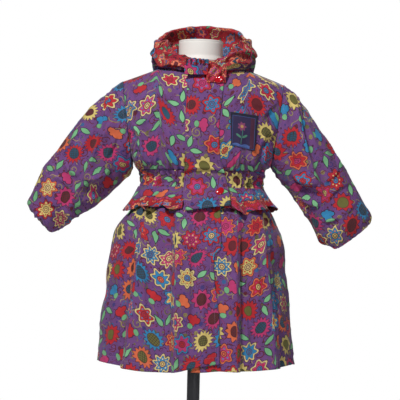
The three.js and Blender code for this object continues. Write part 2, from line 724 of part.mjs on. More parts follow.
function patch() {
  const [a, b, c, d] = PATCH;
  piece('breast_patch', wall({
    point: (u, v) => {
      const x = mix(mix(a.x, b.x, u), mix(d.x, c.x, u), v);
      const z = mix(mix(a.z, b.z, u), mix(d.z, c.z, u), v);
      return onBodice(x, z, 'front', waistFolds(x, z, 'front') + PATCH_CLEAR + THIN);
    },
    across: 5,
    down: 5,
    thickness: THIN,
  }), patchCloth);
}

function tabForward(x, z) {
  return read(TAB, 'height', z, 'forward') - read(TAB, 'height', z, 'round') * (x - MIDDLE) ** 2;
}

function tab() {
  const low = TAB[0].height;
  const high = TAB[TAB.length - 1].height;
  piece('neck_tab', wall({
    point: (u, v) => {
      const z = mix(high, low, v);
      const x = mix(read(TAB, 'height', z, 'right'), read(TAB, 'height', z, 'left'), u);
      return new THREE.Vector3(x, -tabForward(x, z), z);
    },
    across: 4,
    down: 5,
  }), redPrint);
}

// A domed bean-shaped button, its back flat against what it fastens.
function button(name, x, z, back, lean, nod) {
  const outline = new THREE.Shape();
  const long = BUTTON_LONG / 2;
  const wide = BUTTON_WIDE / 2;
  outline.moveTo(-long, 0);
  outline.bezierCurveTo(-long, 0.75 * wide, -0.6 * long, 1.15 * wide, 0, 0.8 * wide);
  outline.bezierCurveTo(0.6 * long, 1.15 * wide, long, 0.75 * wide, long, 0);
  outline.bezierCurveTo(long, -0.8 * wide, 0.4 * long, -wide, 0, -wide);
  outline.bezierCurveTo(-0.4 * long, -wide, -long, -0.8 * wide, -long, 0);
  const geometry = new THREE.ExtrudeGeometry(outline, {
    depth: 0.4 * BUTTON_THICK,
    bevelThickness: 0.3 * BUTTON_THICK,
    bevelSize: 1.6,
    bevelOffset: -1.6,
    bevelSegments: 2,
    curveSegments: 5,
  });
  geometry.translate(0, 0, 0.3 * BUTTON_THICK);
  const mesh = piece(name, geometry, buttonRed);
  mesh.rotation.set(Math.PI / 2 + nod, 0, lean, 'YXZ');
  mesh.position.set(x, back, z);
}

function buttons() {
  const neckAt = { x: 40, z: 967 };
  button('button_neck', neckAt.x, neckAt.z, -tabForward(neckAt.x - 7, neckAt.z) - 2 * SEAM, 0.2, 0);
  const waistAt = { x: 47, z: 728 };
  const there = flapPoint(waistAt.x, waistAt.z);
  const nod = Math.atan2(flapPoint(47, 720).y - flapPoint(47, 736).y, 16);
  button('button_waist', waistAt.x, waistAt.z, there.y - 2 * SEAM, 0.8, nod);
}

// The limbless form, and the pole and base that carry it

function ring(radiusOf, height, middle, sides = 20) {
  return Array.from({ length: sides }, (_, i) => {
    const angle = (TURN * i) / sides;
    const radius = radiusOf(angle);
    return new THREE.Vector3(middle + radius * Math.sin(angle), -radius * Math.cos(angle), height);
  });
}

function ovalRadius(width, front, back) {
  return (angle) => {
    const depth = Math.cos(angle) > 0 ? front : back;
    return (Math.abs(Math.sin(angle) / width) ** 2 + Math.abs(Math.cos(angle) / depth) ** 2) ** -0.5;
  };
}

function form() {
  const under = (CLOTH + FORM_GAP) * Math.hypot(1, RIDGE_SLOPE);
  const trunk = FORM.map((row) => ring(ovalRadius(row.width, row.front, row.back), row.height, row.middle));
  const shoulders = FORM_SHOULDER.map((row) => ring(
    ovalRadius(row.out, row.front, row.back),
    RIDGE_TOP - RIDGE_SLOPE * row.out - under,
    row.middle,
  ));
  const neckFoot = RIDGE_TOP - RIDGE_SLOPE * NECK_RADIUS;
  const neck = [
    ring(() => NECK_RADIUS + 3, neckFoot, 0.5),
    ring(() => NECK_RADIUS, neckFoot + 10, 0),
    ring(() => NECK_RADIUS, NECK_TOP - CAP - SEAM, 0),
  ];
  const height = trunk[0][0].z;
  piece('form_torso', stack([...trunk, ...shoulders, ...neck]), formWhite);
  const cap = new THREE.CylinderGeometry(NECK_RADIUS - 0.6, NECK_RADIUS, CAP, 32);
  piece('form_neck_cap', cap.rotateX(Math.PI / 2).translate(0, 0, NECK_TOP - CAP / 2), formWhite);
  const flange = new THREE.CylinderGeometry(34, 30, FLANGE, 24);
  piece('form_flange', flange.rotateX(Math.PI / 2).translate(0, 0, height - SEAM - FLANGE / 2), standGrey);
  const low = BASE_HEIGHT + BOSS + SEAM;
  const high = height - FLANGE - 2 * SEAM;
  const pole = new THREE.CylinderGeometry(POLE_RADIUS, POLE_RADIUS, high - low, 20);
  piece('stand_pole', pole.rotateX(Math.PI / 2).translate(0, 0, (high + low) / 2), standGrey);
  const profile = [
    [0, 0],
    [BASE_RADIUS, 0],
    [BASE_RADIUS, 4],
    [BASE_RADIUS - 4, 7],
    [60, BASE_HEIGHT - 2],
    [POLE_RADIUS + 10, BASE_HEIGHT],
    [POLE_RADIUS + 7, BASE_HEIGHT + BOSS],
    [0, BASE_HEIGHT + BOSS],
  ];
  const base = new THREE.LatheGeometry(profile.map(([r, z]) => new THREE.Vector2(r, z)), 32);
  piece('stand_base', base.rotateX(Math.PI / 2), standGrey);
}

bodice();
flap();
sleeve('sleeve_right', -1, RIGHT_SLEEVE);
sleeve('sleeve_left', 1, LEFT_SLEEVE);
waist();
skirt();
frill();
hood();
patch();
tab();
buttons();
form();

export default coat;
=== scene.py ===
import math

import bpy
import numpy as np
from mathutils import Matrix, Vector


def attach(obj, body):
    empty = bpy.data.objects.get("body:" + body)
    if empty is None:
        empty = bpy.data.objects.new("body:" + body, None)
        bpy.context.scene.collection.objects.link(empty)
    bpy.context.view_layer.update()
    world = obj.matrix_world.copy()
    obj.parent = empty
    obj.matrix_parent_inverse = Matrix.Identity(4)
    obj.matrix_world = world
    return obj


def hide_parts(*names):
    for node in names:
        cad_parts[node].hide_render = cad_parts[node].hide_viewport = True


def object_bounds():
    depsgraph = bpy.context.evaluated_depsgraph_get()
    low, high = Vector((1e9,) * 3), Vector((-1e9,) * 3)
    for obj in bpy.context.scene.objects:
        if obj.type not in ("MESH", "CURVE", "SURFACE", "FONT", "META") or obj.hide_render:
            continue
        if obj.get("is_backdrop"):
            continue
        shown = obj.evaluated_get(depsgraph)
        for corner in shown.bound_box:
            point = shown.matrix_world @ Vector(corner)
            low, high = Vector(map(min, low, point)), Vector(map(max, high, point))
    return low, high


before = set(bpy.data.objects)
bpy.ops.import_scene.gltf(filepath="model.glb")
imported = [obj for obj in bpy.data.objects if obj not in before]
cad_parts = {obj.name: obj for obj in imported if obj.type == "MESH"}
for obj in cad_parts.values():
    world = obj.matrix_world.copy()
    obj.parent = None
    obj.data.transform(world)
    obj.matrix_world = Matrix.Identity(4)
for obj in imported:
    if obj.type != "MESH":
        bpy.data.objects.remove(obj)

# A child's hooded coat of printed cotton on a limbless form. Lengths are in millimetres up to the
# meshes, which are in metres. The front faces -Y, and +X is the wearer's left.

cad_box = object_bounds()
MM = 0.001
TURN = 2 * math.pi

# Sizes of the coat, as in the part's source

CLOTH = 1.5
THIN = 1.0
SEAM = 0.3
FULLNESS = 2.3
MIDDLE = 6.5
RIDGE_TOP = 1031
RIDGE_SLOPE = 0.375
RIDGE_ROUND = 70
SHOULDER_OUT = 175
ARMPIT_OUT = 150
ARMPIT_HEIGHT = 784
ARMHOLE_DEPTH = 62
ARMHOLE_MIDDLE = 872
NECK_OUT = 98
NECK_FRONT = 984
NECK_BACK = 1001
WAIST_TOP = 772
WAIST_END = 728
HEM_SIDE = 357
HEM_LOW = 340
FRILL_TOP = 736
BAND_TOP = 711
FRILL_END = 690
FLAP_MIDDLE = 18
FLAP_FREE = 792
FLAP_CLEAR = 1.4
FRONT_EDGE = -20
LAP_LIFT = 3.4
GATHERS = 28
FRILL_WAVES = 19


def table(columns, *rows):
    """Named columns of numbers; where it is read, the first one rises from row to row."""
    return dict(zip(columns.split(), np.array(rows, float).T))


BODICE = table(
    "height front back",
    (760, 85, 83),
    (790, 96, 91),
    (835, 103, 97),
    (890, 99, 98),
    (940, 91, 92),
    (985, 78, 82),
    (1035, 74, 76),
)
SIDES = table("height right left", (752, 133, 135), (772, 140, 142), (784, 150, 152))
WAIST = table(
    "height right left front back",
    (726, 136, 137, 85, 83),
    (752, 133, 135, 83, 81),
    (774, 140, 142, 90, 86),
)
SKIRT = table(
    "height right left front back",
    (340, 222, 217, 150, 157),
    (427, 215, 204, 146, 152),
    (484, 209, 197, 142, 147),
    (568, 197, 187, 134, 137),
    (614, 183, 179, 127, 128),
    (641, 174, 172, 120, 120),
    (672, 158, 159, 108, 107),
    (690, 147, 149, 99, 98),
    (705, 139, 141, 91, 89),
    (728, 132, 133, 83, 81),
)
FRILL = table(
    "height right left front back",
    (672, 171, 172, 122, 121),
    (690, 164, 164, 115, 114),
    (705, 154, 154, 106, 103),
    (720, 146, 147, 98, 96),
    (738, 136.2, 137.4, 86.4, 84.4),
)
FLAP = table(
    "height right left forward",
    (684, -22, 71, 116),
    (699, -28, 71, 113.5),
    (722, -31, 68, 104),
    (745, -30, 63, 94),
    (776, -29, 54, 95.5),
    (799, -29, 47, 101),
    (867, -29, 43, 104),
    (925, -28, 48, 96),
    (985, -27, 53, 80),
)
RIGHT_SLEEVE = table(
    "topX topZ endX endZ depth forward",
    (-198, 943, -152, 762, 62, 0),
    (-228, 917, -172, 741, 60, 2),
    (-256, 882, -195, 716, 57, 4),
    (-281, 850, -220, 696, 54, 6),
    (-304, 816, -243, 677, 51, 8),
    (-328, 785, -265, 660, 47, 10),
    (-346, 751, -283, 649, 42, 12),
    (-359, 718, -300, 641, 37, 13),
    (-368, 692, -316, 634, 30, 14),
    (-362, 677, -330, 640, 19, 14),
)
LEFT_SLEEVE = table(
    "topX topZ endX endZ depth forward",
    (205, 948, 171, 766, 62, 0),
    (229, 921, 187, 747, 60, 2),
    (251, 888, 205, 726, 57, 4),
    (273, 857, 220, 704, 55, 6),
    (295, 822, 234, 681, 53, 8),
    (316, 785, 248, 658, 51, 10),
    (337, 747, 262, 637, 48, 12),
    (359, 710, 276, 621, 45, 13),
    (377, 676, 296, 613, 38, 14),
    (370, 656, 314, 612, 24, 14),
)
SLEEVE_FOLDS = table(
    "along around reach width height",
    (0.30, 0.10, 0.30, 0.07, 7),
    (0.42, 0.30, 0.22, 0.08, -6),
    (0.58, 0.90, 0.24, 0.07, 7),
    (0.68, 0.22, 0.08, 0.16, 6),
    (0.80, 0.74, 0.07, 0.18, 6),
    (0.60, 0.52, 0.10, 0.14, -5),
    (0.90, 0.02, 0.06, 0.16, 4),
)
FRONT_PLEATS = table("top hem height", (-112, -157, 8), (-52, -48, 7), (78, 84, 8), (128, 172, 6))
BACK_PLEATS = table("top hem height", (-92, -140, 8), (-38, -52, 7), (38, 52, 7), (92, 140, 8))
OPENING = table(
    "height lap under",
    (340, 55, -6),
    (464, 50, -6),
    (534, 40, -6),
    (592, 38, -6),
    (607, 50, -4),
    (688, 48, -2),
    (728, 46, -2),
)
HOOD = table(
    "turn overOut overUp bagOut bagUp bulgeOut bulgeUp rimOut rimUp",
    (0, 1, 1, 3, 1, 6, 2, 8, 4),
    (45, 1, 2, 3, 4, 8, 8, 10, 14),
    (90, 1, 4, 3, 9, 5, 17, 5.5, 25),
    (125, 11, 5, 25, 8, 35, 18, 34.5, 38),
    (155, 24, -2, 56, -56, 75, -32, 63.5, 48),
    (180, 26, -8, 54, -96, 78, -58, 67.5, 50),
)
LINING = table(
    "turn lipOut lipUp crestOut crestUp inOut inUp dipOut dipUp footOut footUp",
    (0, 12, 2, 4, 17, -5, 14, -8, 9, -9, 5),
    (45, 15, 10, 3, 34, -13, 28, -16, 20, -18, 14),
    (90, 10, 20, -8, 60, -31, 52, -36, 38, -37, 24),
    (125, 39, 36, 22, 68, 8, 50, 1, 24, -10, 16),
    (155, 67, 50, 51, 90, 44, 50, 44, -6, 10, 10),
    (180, 71, 52, 56, 99, 51, 46, 50, -24, 14, 10),
)
HOOD_START = 2
HOOD_END = 359.2
PATCH = ((66, 898), (126, 891), (120, 816), (69, 828))
PATCH_CLEAR = 1.1
TAB = table(
    "height right left forward round",
    (960, 14, 55, 91, 0.0018),
    (975, 13, 56, 90.2, 0.0022),
    (990, 14, 56, 89, 0.003),
    (1004, 17, 53, 82, 0.003),
)
TAB_TOP = 1004
TAB_END = 960

# Creases of the cloth, in millimetres across and up as seen from the front: where each starts and ends,
# how far it bends aside, its half width and its height, less than nothing for a trough

CREASE_COLUMNS = "x z endX endZ bend width height"
BODICE_CREASES = table(
    CREASE_COLUMNS,
    (-160, 925, -112, 868, 6, 7, 2.6),
    (-150, 880, -108, 842, -5, 6, 2.0),
    (-158, 848, -118, 812, 5, 6, 2.4),
    (-146, 868, -119, 772, 4, 7, -4.0),
    (-135, 868, -107, 772, 4, 7, 4.5),
    (152, 852, 130, 774, -4, 6, -3.2),
    (143, 852, 120, 774, -4, 6, 3.2),
    (-100, 958, -62, 905, 4, 8, 1.8),
    (-84, 890, -70, 800, 4, 5, 1.8),
    (-60, 925, -44, 850, -4, 7, -1.6),
    (-122, 905, -96, 820, 6, 5, 1.6),
    (172, 925, 128, 872, -6, 7, 2.6),
    (168, 878, 132, 832, 6, 6, 2.2),
    (150, 842, 112, 800, -5, 6, 2.2),
    (96, 955, 70, 912, 4, 8, 1.6),
    (62, 875, 58, 800, 3, 5, 1.8),
    (86, 812, 84, 778, 1, 4, 1.4),
)
BACK_CREASES = table(
    CREASE_COLUMNS,
    (-150, 915, -88, 872, 7, 8, 2.6),
    (-152, 860, -96, 838, -6, 7, 2.2),
    (160, 912, 100, 868, -7, 8, 2.6),
    (158, 852, 104, 824, 6, 7, 2.2),
    (-60, 900, -36, 815, 5, 7, 1.8),
    (24, 895, 20, 800, -4, 7, 1.8),
    (70, 905, 54, 820, -5, 6, 1.6),
)
SLEEVE_CREASES = table(
    CREASE_COLUMNS,
    (192, 950, 282, 690, -12, 9, 6.5),
    (206, 940, 222, 872, -4, 6, 3.0),
    (250, 748, 192, 772, 7, 7, 6.5),
    (262, 728, 200, 748, -5, 6, 3.6),
    (258, 700, 212, 722, 4, 6, 4.2),
    (300, 680, 262, 668, 4, 6, 3.4),
    (224, 894, 268, 800, -8, 7, 2.6),
    (258, 848, 300, 770, 8, 7, -2.6),
    (300, 790, 262, 752, 5, 5, 2.4),
    (322, 752, 272, 716, -6, 5, 2.6),
    (336, 716, 296, 680, 5, 5, 2.2),
    (186, 880, 214, 812, 6, 6, 2.0),
    (178, 842, 206, 790, -5, 5, -2.2),
)
SKIRT_CREASES = table(
    CREASE_COLUMNS,
    (-172, 470, -190, 362, 6, 8, 3.0),
    (-96, 640, -104, 420, -6, 9, 2.4),
    (-20, 660, -14, 380, 5, 10, 2.0),
    (20, 560, 26, 370, -4, 7, 1.6),
    (120, 650, 132, 430, 6, 9, 2.4),
    (178, 492, 208, 395, -7, 7, 3.6),
    (150, 600, 168, 520, 5, 7, 2.2),
    (104, 480, 112, 365, 5, 8, 2.0),
    (-150, 610, -172, 520, 5, 7, 2.0),
)

# Each piece of cloth: the slot of its material, the columns and rows of its grid, its thickness, the
# share of its width from which the print is laid, the place in the printed cloth from which it is
# cut, how it is held and what it rests on

PIECES = {
    "bodice_front_right": ("print", 70, 88, CLOTH, 1, (0, 0), "hung", "form_torso"),
    "bodice_front_left": ("print", 90, 88, CLOTH, 0, (700, 210), "hung", "form_torso"),
    "bodice_back": ("print", 150, 96, CLOTH, 0.5, (1500, 400), "hung", "form_torso"),
    "sleeve_right": ("print", 170, 128, CLOTH, 0.5, (4200, 100), "hung", "coat_bodice_back"),
    "sleeve_left": ("print", 170, 128, CLOTH, 0.5, (5200, 500), "hung", "coat_bodice_back"),
    "waist_front_right": ("print", 110, 30, THIN, 1, (0, 900), "gathered", "coat_bodice_back"),
    "waist_front_left": ("print", 130, 30, THIN, 0, (300, 900), "gathered", "coat_bodice_back"),
    "waist_back": ("print", 260, 30, THIN, 0.5, (600, 900), "gathered", "coat_bodice_back"),
    "skirt_front_right": ("print", 118, 124, CLOTH, 1, (40, 1400), "hung", "coat_waist_back"),
    "skirt_front_left": ("print", 104, 124, CLOTH, 0, (900, 1700), "hung", "coat_waist_back"),
    "skirt_back": ("print", 200, 124, CLOTH, 0.5, (1800, 2100), "hung", "coat_waist_back"),
    "frill_front_right": ("print", 130, 10, THIN, 0.5, (60, 2600), "gathered", "coat_waist_back"),
    "frill_band_front_right": ("red_print", 130, 9, THIN, 0.5, (60, 2600), "gathered", "coat_waist_back"),
    "frill_front_left": ("print", 120, 10, THIN, 0.5, (560, 2600), "gathered", "coat_waist_back"),
    "frill_band_front_left": ("red_print", 120, 9, THIN, 0.5, (560, 2600), "gathered", "coat_waist_back"),
    "frill_back": ("print", 300, 10, THIN, 0.5, (1060, 2600), "gathered", "coat_waist_back"),
    "frill_band_back": ("red_print", 300, 9, THIN, 0.5, (1060, 2600), "gathered", "coat_waist_back"),
    "front_flap": ("print", 34, 110, CLOTH, 0.5, (2500, 120), "hung", "coat_bodice_front_right"),
    "hood": ("print", 220, 56, CLOTH, 0.5, (3200, 300), "folded", "coat_bodice_back"),
    "hood_lining": ("red_print", 250, 76, CLOTH, 0.5, (3200, 900), "folded", "coat_hood"),
    "breast_patch": ("patch", 36, 44, THIN, 0.5, (0, 0), "laid", "coat_bodice_front_left"),
    "neck_tab": ("red_print", 34, 34, CLOTH, 0.5, (3900, 2000), "folded", "coat_hood_lining"),
    "neck_stand": ("print", 90, 20, THIN, 0.5, (4738, 1532), "gathered", "coat_hood_lining"),
    "neck_curls": ("red_print", 90, 20, THIN, 0.5, (4300, 2500), "gathered", "coat_hood_lining"),
}
OTHER_NODES = {"hood": "hood_outer", "neck_stand": None, "neck_curls": None}


def mix(a, b, t):
    return a + (b - a) * t


def ease(t):
    """From 0 to 1 without a corner, as t does."""
    c = np.clip(t, 0, 1)
    return c * c * (3 - 2 * c)


def hill(x, width):
    """1 where x is 0, and less on both sides of it."""
    return np.exp(-((x / width) ** 2))


def wave(turns):
    """A sine with one wave for each whole turn."""
    return np.sin(TURN * turns)


def read(rows, at, column):
    """One named column, read smoothly at a value of the table's first column."""
    key = next(iter(rows.values()))
    value = rows[column]
    slope = np.empty(len(key))
    slope[1:-1] = (value[2:] - value[:-2]) / (key[2:] - key[:-2])
    slope[0] = (value[1] - value[0]) / (key[1] - key[0])
    slope[-1] = (value[-1] - value[-2]) / (key[-1] - key[-2])
    x = np.clip(at, key[0], key[-1])
    i = np.clip(np.searchsorted(key, x, side="right") - 1, 0, len(key) - 2)
    width = key[i + 1] - key[i]
    t = (x - key[i]) / width
    before, after, rise = slope[i] * width, slope[i + 1] * width, value[i + 1] - value[i]
    bend = 3 * rise - 2 * before - after + t * (before + after - 2 * rise)
    return value[i] + t * (before + t * bend)


def through(places, t):
    """Smooth curve through the places, an array for each, at t from 0 to 1, eased where they lie close."""
    last = len(places) - 1
    at = np.clip(t, 0, 1) * last
    i = np.minimum(at.astype(int), last - 1)
    f = (at - i)[..., None]
    grid = np.stack(places)
    grid = np.concatenate([2 * grid[:1] - grid[1:2], grid, 2 * grid[-1:] - grid[-2:-1]])
    a, b, c, d = (np.take_along_axis(grid, (i + k)[None, ..., None], 0)[0] for k in range(4))
    before, here, after = (
        np.maximum(np.linalg.norm(q - p, axis=-1, keepdims=True), 1e-6) ** 0.5
        for p, q in ((a, b), (b, c), (c, d))
    )
    start = here * ((b - a) / before - (c - a) / (before + here) + (c - b) / here)
    stop = here * ((c - b) / here - (d - b) / (here + after) + (d - c) / after)
    return b + f * (start + f * (3 * (c - b) - 2 * start - stop + f * (start + stop - 2 * (c - b))))


def point_of(x, y, z):
    return np.stack(np.broadcast_arrays(x, y, z), axis=-1).astype(float)


def on_body(rows, height, angle, out=0.0):
    """A place on a rounded section of the body, at an angle from straight ahead to the wearer's left."""
    side, face = np.sin(angle), np.cos(angle)
    width = np.where(side < 0, read(rows, height, "right"), read(rows, height, "left"))
    depth = np.where(face > 0, read(rows, height, "front"), read(rows, height, "back"))
    radius = (abs(side / width) ** FULLNESS + abs(face / depth) ** FULLNESS) ** (-1 / FULLNESS) + out
    return point_of(MIDDLE + radius * side, -radius * face, height)


def angle_across(rows, height, across):
    """The angle at which the front of a section is as far across as that."""
    angle = np.zeros(np.shape(height))
    for _ in range(12):
        place = on_body(rows, height, angle)
        radius = np.hypot(place[..., 0] - MIDDLE, place[..., 1])
        angle = np.arcsin(np.clip((across - MIDDLE) / radius, -1, 1))
    return angle


# Relief of the cloth


def noise(x, y, seed):
    """Smooth noise from -1 to 1, a new value about every whole number of x and y."""
    values = np.random.default_rng(seed).uniform(-1, 1, (64, 64))
    i, j = np.floor(x).astype(int), np.floor(y).astype(int)
    f, g = ease(x - i), ease(y - j)
    at = lambda a, b: values[a % 64, b % 64]
    return mix(mix(at(i, j), at(i + 1, j), f), mix(at(i, j + 1), at(i + 1, j + 1), f), g)


def crumple(x, y, seed, amount=1.0):
    """Small soft creases all over the cloth, some with a sharper crest."""
    bend = 9 * noise(x / 55, y / 55, seed + 1)
    broad = noise((x + bend) / 30, (y - bend) / 44, seed + 2)
    crest = 1 - 2.4 * abs(noise((x + y * 0.5 + bend) / 31, (y - x * 0.35) / 52, seed + 3))
    cross = 1 - 2.6 * abs(noise((x - y * 0.7) / 44, (y + x * 0.6 + bend) / 30, seed + 6))
    small = noise(x / 10, (y + bend) / 13, seed + 4)
    sharp = 1.3 * np.clip(crest, 0, 1) ** 1.5 + 1.0 * np.clip(cross, 0, 1) ** 1.5
    return amount * (1.5 * broad + sharp + 0.35 * small)


def creases(rows, x, z):
    """The lines of a table, each with a soft side and a sharper lee side."""
    total = np.zeros(np.shape(x))
    for x0, z0, x1, z1, bend, width, height in zip(*rows.values()):
        length = math.hypot(x1 - x0, z1 - z0)
        along = ((x - x0) * (x1 - x0) + (z - z0) * (z1 - z0)) / length**2
        aside = ((z - z0) * (x1 - x0) - (x - x0) * (z1 - z0)) / length
        t = np.clip(along, 0, 1)
        off = (aside - 4 * bend * t * (1 - t)) / width
        fade = np.sin(math.pi * t) ** 0.7 * ((along > 0) & (along < 1))
        lee = 1.45 * np.exp(-abs(off) / 0.4) - 0.45 * np.exp(-abs(off) / 2)
        total += height * fade * np.where(off < 0, np.exp(-abs(off) / 1.8), lee)
    return total


def groove(distance, depth=0.9, width=2.2):
    """The dip of a seam or a row of stitching."""
    return -depth * hill(distance, width)


def puckers(along, distance, pitch, reach, amount):
    """Little waves across a seam, which fade away from it."""
    ripple = np.sin(TURN * along / pitch + 2.2 * noise(along / 23, distance / 40, 5))
    return amount * ripple * hill(distance, reach)


def close_gathers(x):
    """The narrow waves where the cloth is drawn in at the waist."""
    return 2.3 * wave(x / 13 + 0.35 * np.sin(x / 17))


def deep_fold(angle):
    """A ridge and the dark fold beside it, at the wearer's right."""
    fold = (angle + 0.93) / 0.055
    return hill(fold - 1.4, 1) - 0.9 * hill(fold, 1)


# Meshes and pieces


def add_object(name, data):
    thing = bpy.data.objects.new(name, data)
    bpy.context.scene.collection.objects.link(thing)
    return thing


def add_piece(name, mesh, materials, slot, node=None):
    """A visible piece on the one body, in the place of its CAD node if it has one."""
    piece = add_object(name, mesh)
    for material in materials:
        mesh.materials.append(material)
    mesh.polygons.foreach_set("use_smooth", np.ones(len(mesh.polygons), bool))
    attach(piece, "root")
    if node:
        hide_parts(node)
    return piece


def normals_of(grid, closed):
    along = np.roll(grid, -1, 1) - np.roll(grid, 1, 1) if closed else np.gradient(grid, axis=1)
    normal = np.cross(along, np.gradient(grid, axis=0))
    return normal / np.maximum(np.linalg.norm(normal, axis=-1, keepdims=True), 1e-9)


def run_lengths(grid, axis):
    """The length from the grid's first point to each other one, along its lines."""
    step = np.linalg.norm(np.diff(grid, axis=axis), axis=-1)
    return np.concatenate([np.zeros_like(np.take(step, [0], axis)), np.cumsum(step, axis)], axis)


def shell_mesh(name, outer, inner, flat, closed):
    """A closed wall between two grids. flat gives each point's place on the cloth as it was cut."""
    rows, columns = outer.shape[:2]
    count = rows * columns
    number = np.arange(count).reshape(rows, columns)
    edges = [number[0], number[-1, ::-1], number[::-1, 0], number[:, -1]]
    if closed:
        number = np.concatenate([number, number[:, :1]], axis=1)
        edges = [number[0], number[-1, ::-1]]
    corners = [number[:-1, :-1], number[1:, :-1], number[1:, 1:], number[:-1, 1:]]
    outside = np.stack(corners, -1).reshape(-1, 4)
    faces = [outside, outside[:, [0, 3, 2, 1]] + count]
    for edge in edges:
        faces.append(np.stack([edge[:-1], edge[1:], edge[1:] + count, edge[:-1] + count], -1))
    quads = np.concatenate(faces)
    places = np.concatenate([outer.reshape(-1, 3), inner.reshape(-1, 3)]) * MM
    mesh = bpy.data.meshes.new(name)
    mesh.vertices.add(len(places))
    mesh.vertices.foreach_set("co", places.ravel())
    mesh.loops.add(quads.size)
    mesh.loops.foreach_set("vertex_index", quads.ravel())
    mesh.polygons.add(len(quads))
    mesh.polygons.foreach_set("loop_start", np.arange(0, quads.size, 4))
    inside = np.zeros(len(quads), int)
    inside[len(outside) : 2 * len(outside)] = 1
    mesh.polygons.foreach_set("material_index", inside)
    on_cloth = flat.reshape(-1, 2)[quads % count]
    if closed:
        # the last column of quads ends at the first column of points, which lies one step further on here
        row_of, column_of = np.divmod(quads % count, columns)
        wraps = (np.ptp(column_of, axis=1) > 1)[:, None] & (column_of == 0)
        beyond = 2 * flat[:, -1, 0] - flat[:, -2, 0]
        on_cloth[..., 0] = np.where(wraps, beyond[row_of], on_cloth[..., 0])
    mesh.uv_layers.new(name="cloth").uv.foreach_set("vector", (on_cloth * MM).ravel())
    mesh.update()
    mesh.validate()
    return mesh


grids = {}


def cloth(name, point, relief=None, closed=False, keep=None, grain=None, tuck=None):
    """A fine piece of cloth on the form of its CAD node, with its relief, its print and its flat size.

    point and relief take shares across and down. keep holds its places back from the seams, grain turns
    the print to run along a direction, and tuck is the cloth that is hidden in its pleats."""
    slot, across, down, thickness, anchor, shift, held, rests_on = PIECES[name]
    u = np.arange(across) / across if closed else np.linspace(0, 1, across + 1)
    grid_u, grid_v = np.meshgrid(u, np.linspace(0, 1, down + 1))
    outer = point(grid_u, grid_v)
    if relief:
        outer = outer - normals_of(outer, closed) * relief(grid_u, grid_v, outer)[..., None]
    inner = outer + normals_of(outer, closed) * thickness
    if keep:
        outer, inner = keep(outer), keep(inner)
    flat = np.stack([run_lengths(outer, 1), run_lengths(outer, 0)], axis=-1)
    middle = [round(anchor * (flat.shape[1] - 1))]
    begin = 0
    if grain is not None:
        flat[..., 1] = outer @ grain
        away = np.diff(flat[..., 0], axis=1) ** 2 - np.diff(flat[..., 1], axis=1) ** 2
        flat[:, 1:, 0] = np.cumsum(np.sqrt(np.maximum(away, 0)), axis=1)
        begin = (outer @ np.cross(grain, (0, 1, 0)))[:, middle]
    flat[..., 0] += begin - flat[:, middle, 0]
    if tuck:
        flat[..., 0] += tuck(outer)
    mesh = shell_mesh("coat_" + name, outer, inner, flat + shift, closed)
    piece = add_piece("coat_" + name, mesh, COTTONS[slot], slot, OTHER_NODES.get(name, name))
    cell = np.cross(np.diff(outer, axis=1)[:-1], np.diff(outer, axis=0)[:, :-1])
    grids[name] = outer


# Materials: sums on shader sockets, written as sums


class Wire:
    """A number or colour on a shader node's output, which takes part in sums like a number."""

    def __init__(self, tree, socket):
        self.tree, self.socket = tree, socket

    def maths(self, operation, *others):
        return output(self.tree, "Math", dict(enumerate((self, *others))), operation=operation)


SUMS = {
    "__add__": "ADD",
    "__sub__": "SUBTRACT",
    "__mul__": "MULTIPLY",
    "__truediv__": "DIVIDE",
    "below": "LESS_THAN",
    "above": "GREATER_THAN",
    "floor": "FLOOR",
    "fraction": "FRACT",
    "size": "ABSOLUTE",
    "sin": "SINE",
    "cos": "COSINE",
    "most": "MAXIMUM",
    "root": "SQRT",
    "bearing": "ARCTAN2",
}
for method, sum_name in SUMS.items():
    setattr(Wire, method, lambda self, *others, name=sum_name: self.maths(name, *others))


def linear(colour):
    """A colour as a screen shows it, three numbers to 255, as the shader takes it."""
    share = np.array(colour) / 255
    return tuple(np.where(share <= 0.04045, share / 12.92, ((share + 0.055) / 1.055) ** 2.4))


def connect(tree, place, value):
    """Wires an output to an input, or sets the input to a number or a colour."""
    if isinstance(value, Wire):
        tree.links.new(value.socket, place)
    elif isinstance(value, tuple):
        place.default_value = (*linear(value), 1)
    else:
        place.default_value = value


def new_node(tree, kind, inputs, **settings):
    node = tree.nodes.new("ShaderNode" + kind)
    for name, setting in settings.items():
        setattr(node, name, setting)
    for place, value in inputs.items():
        connect(tree, node.inputs[place], value)
    return node


def output(tree, kind, inputs, which=0, **settings):
    return Wire(tree, new_node(tree, kind, inputs, **settings).outputs[which])


def join(x, y, z):
    return output(x.tree, "CombineXYZ", {0: x, 1: y, 2: z})


def cloud(detail, x, y, z):
    """Soft noise, a new value about every whole number."""
    return output(x.tree, "TexNoise", {"Scale": 1.0, "Detail": detail, "Vector": join(x, y, z)})


def colour_from(choice, colours):
    """One of the colours, all alike in share, by a number from 0 to 1."""
    node = new_node(choice.tree, "ValToRGB", {0: choice})
    ramp = node.color_ramp
    ramp.interpolation = "CONSTANT"
    while len(ramp.elements) < len(colours):
        ramp.elements.new(0.5)
    for k, (element, colour) in enumerate(zip(ramp.elements, colours)):
        element.position = k / len(colours)
        element.color = (*linear(colour), 1)
    return Wire(choice.tree, node.outputs[0])


def lay(under, over, mask):
    """over where mask is 1, and under elsewhere."""
    return output(mask.tree, "Mix", {0: mask, 6: under, 7: over}, 2, data_type="RGBA")


def layers(under, here, *pairs):
    """Colours laid on one another, each with the mask that shows it, where here is 1."""
    for over, mask in pairs:
        under = lay(under, over, mask * here)
    return under


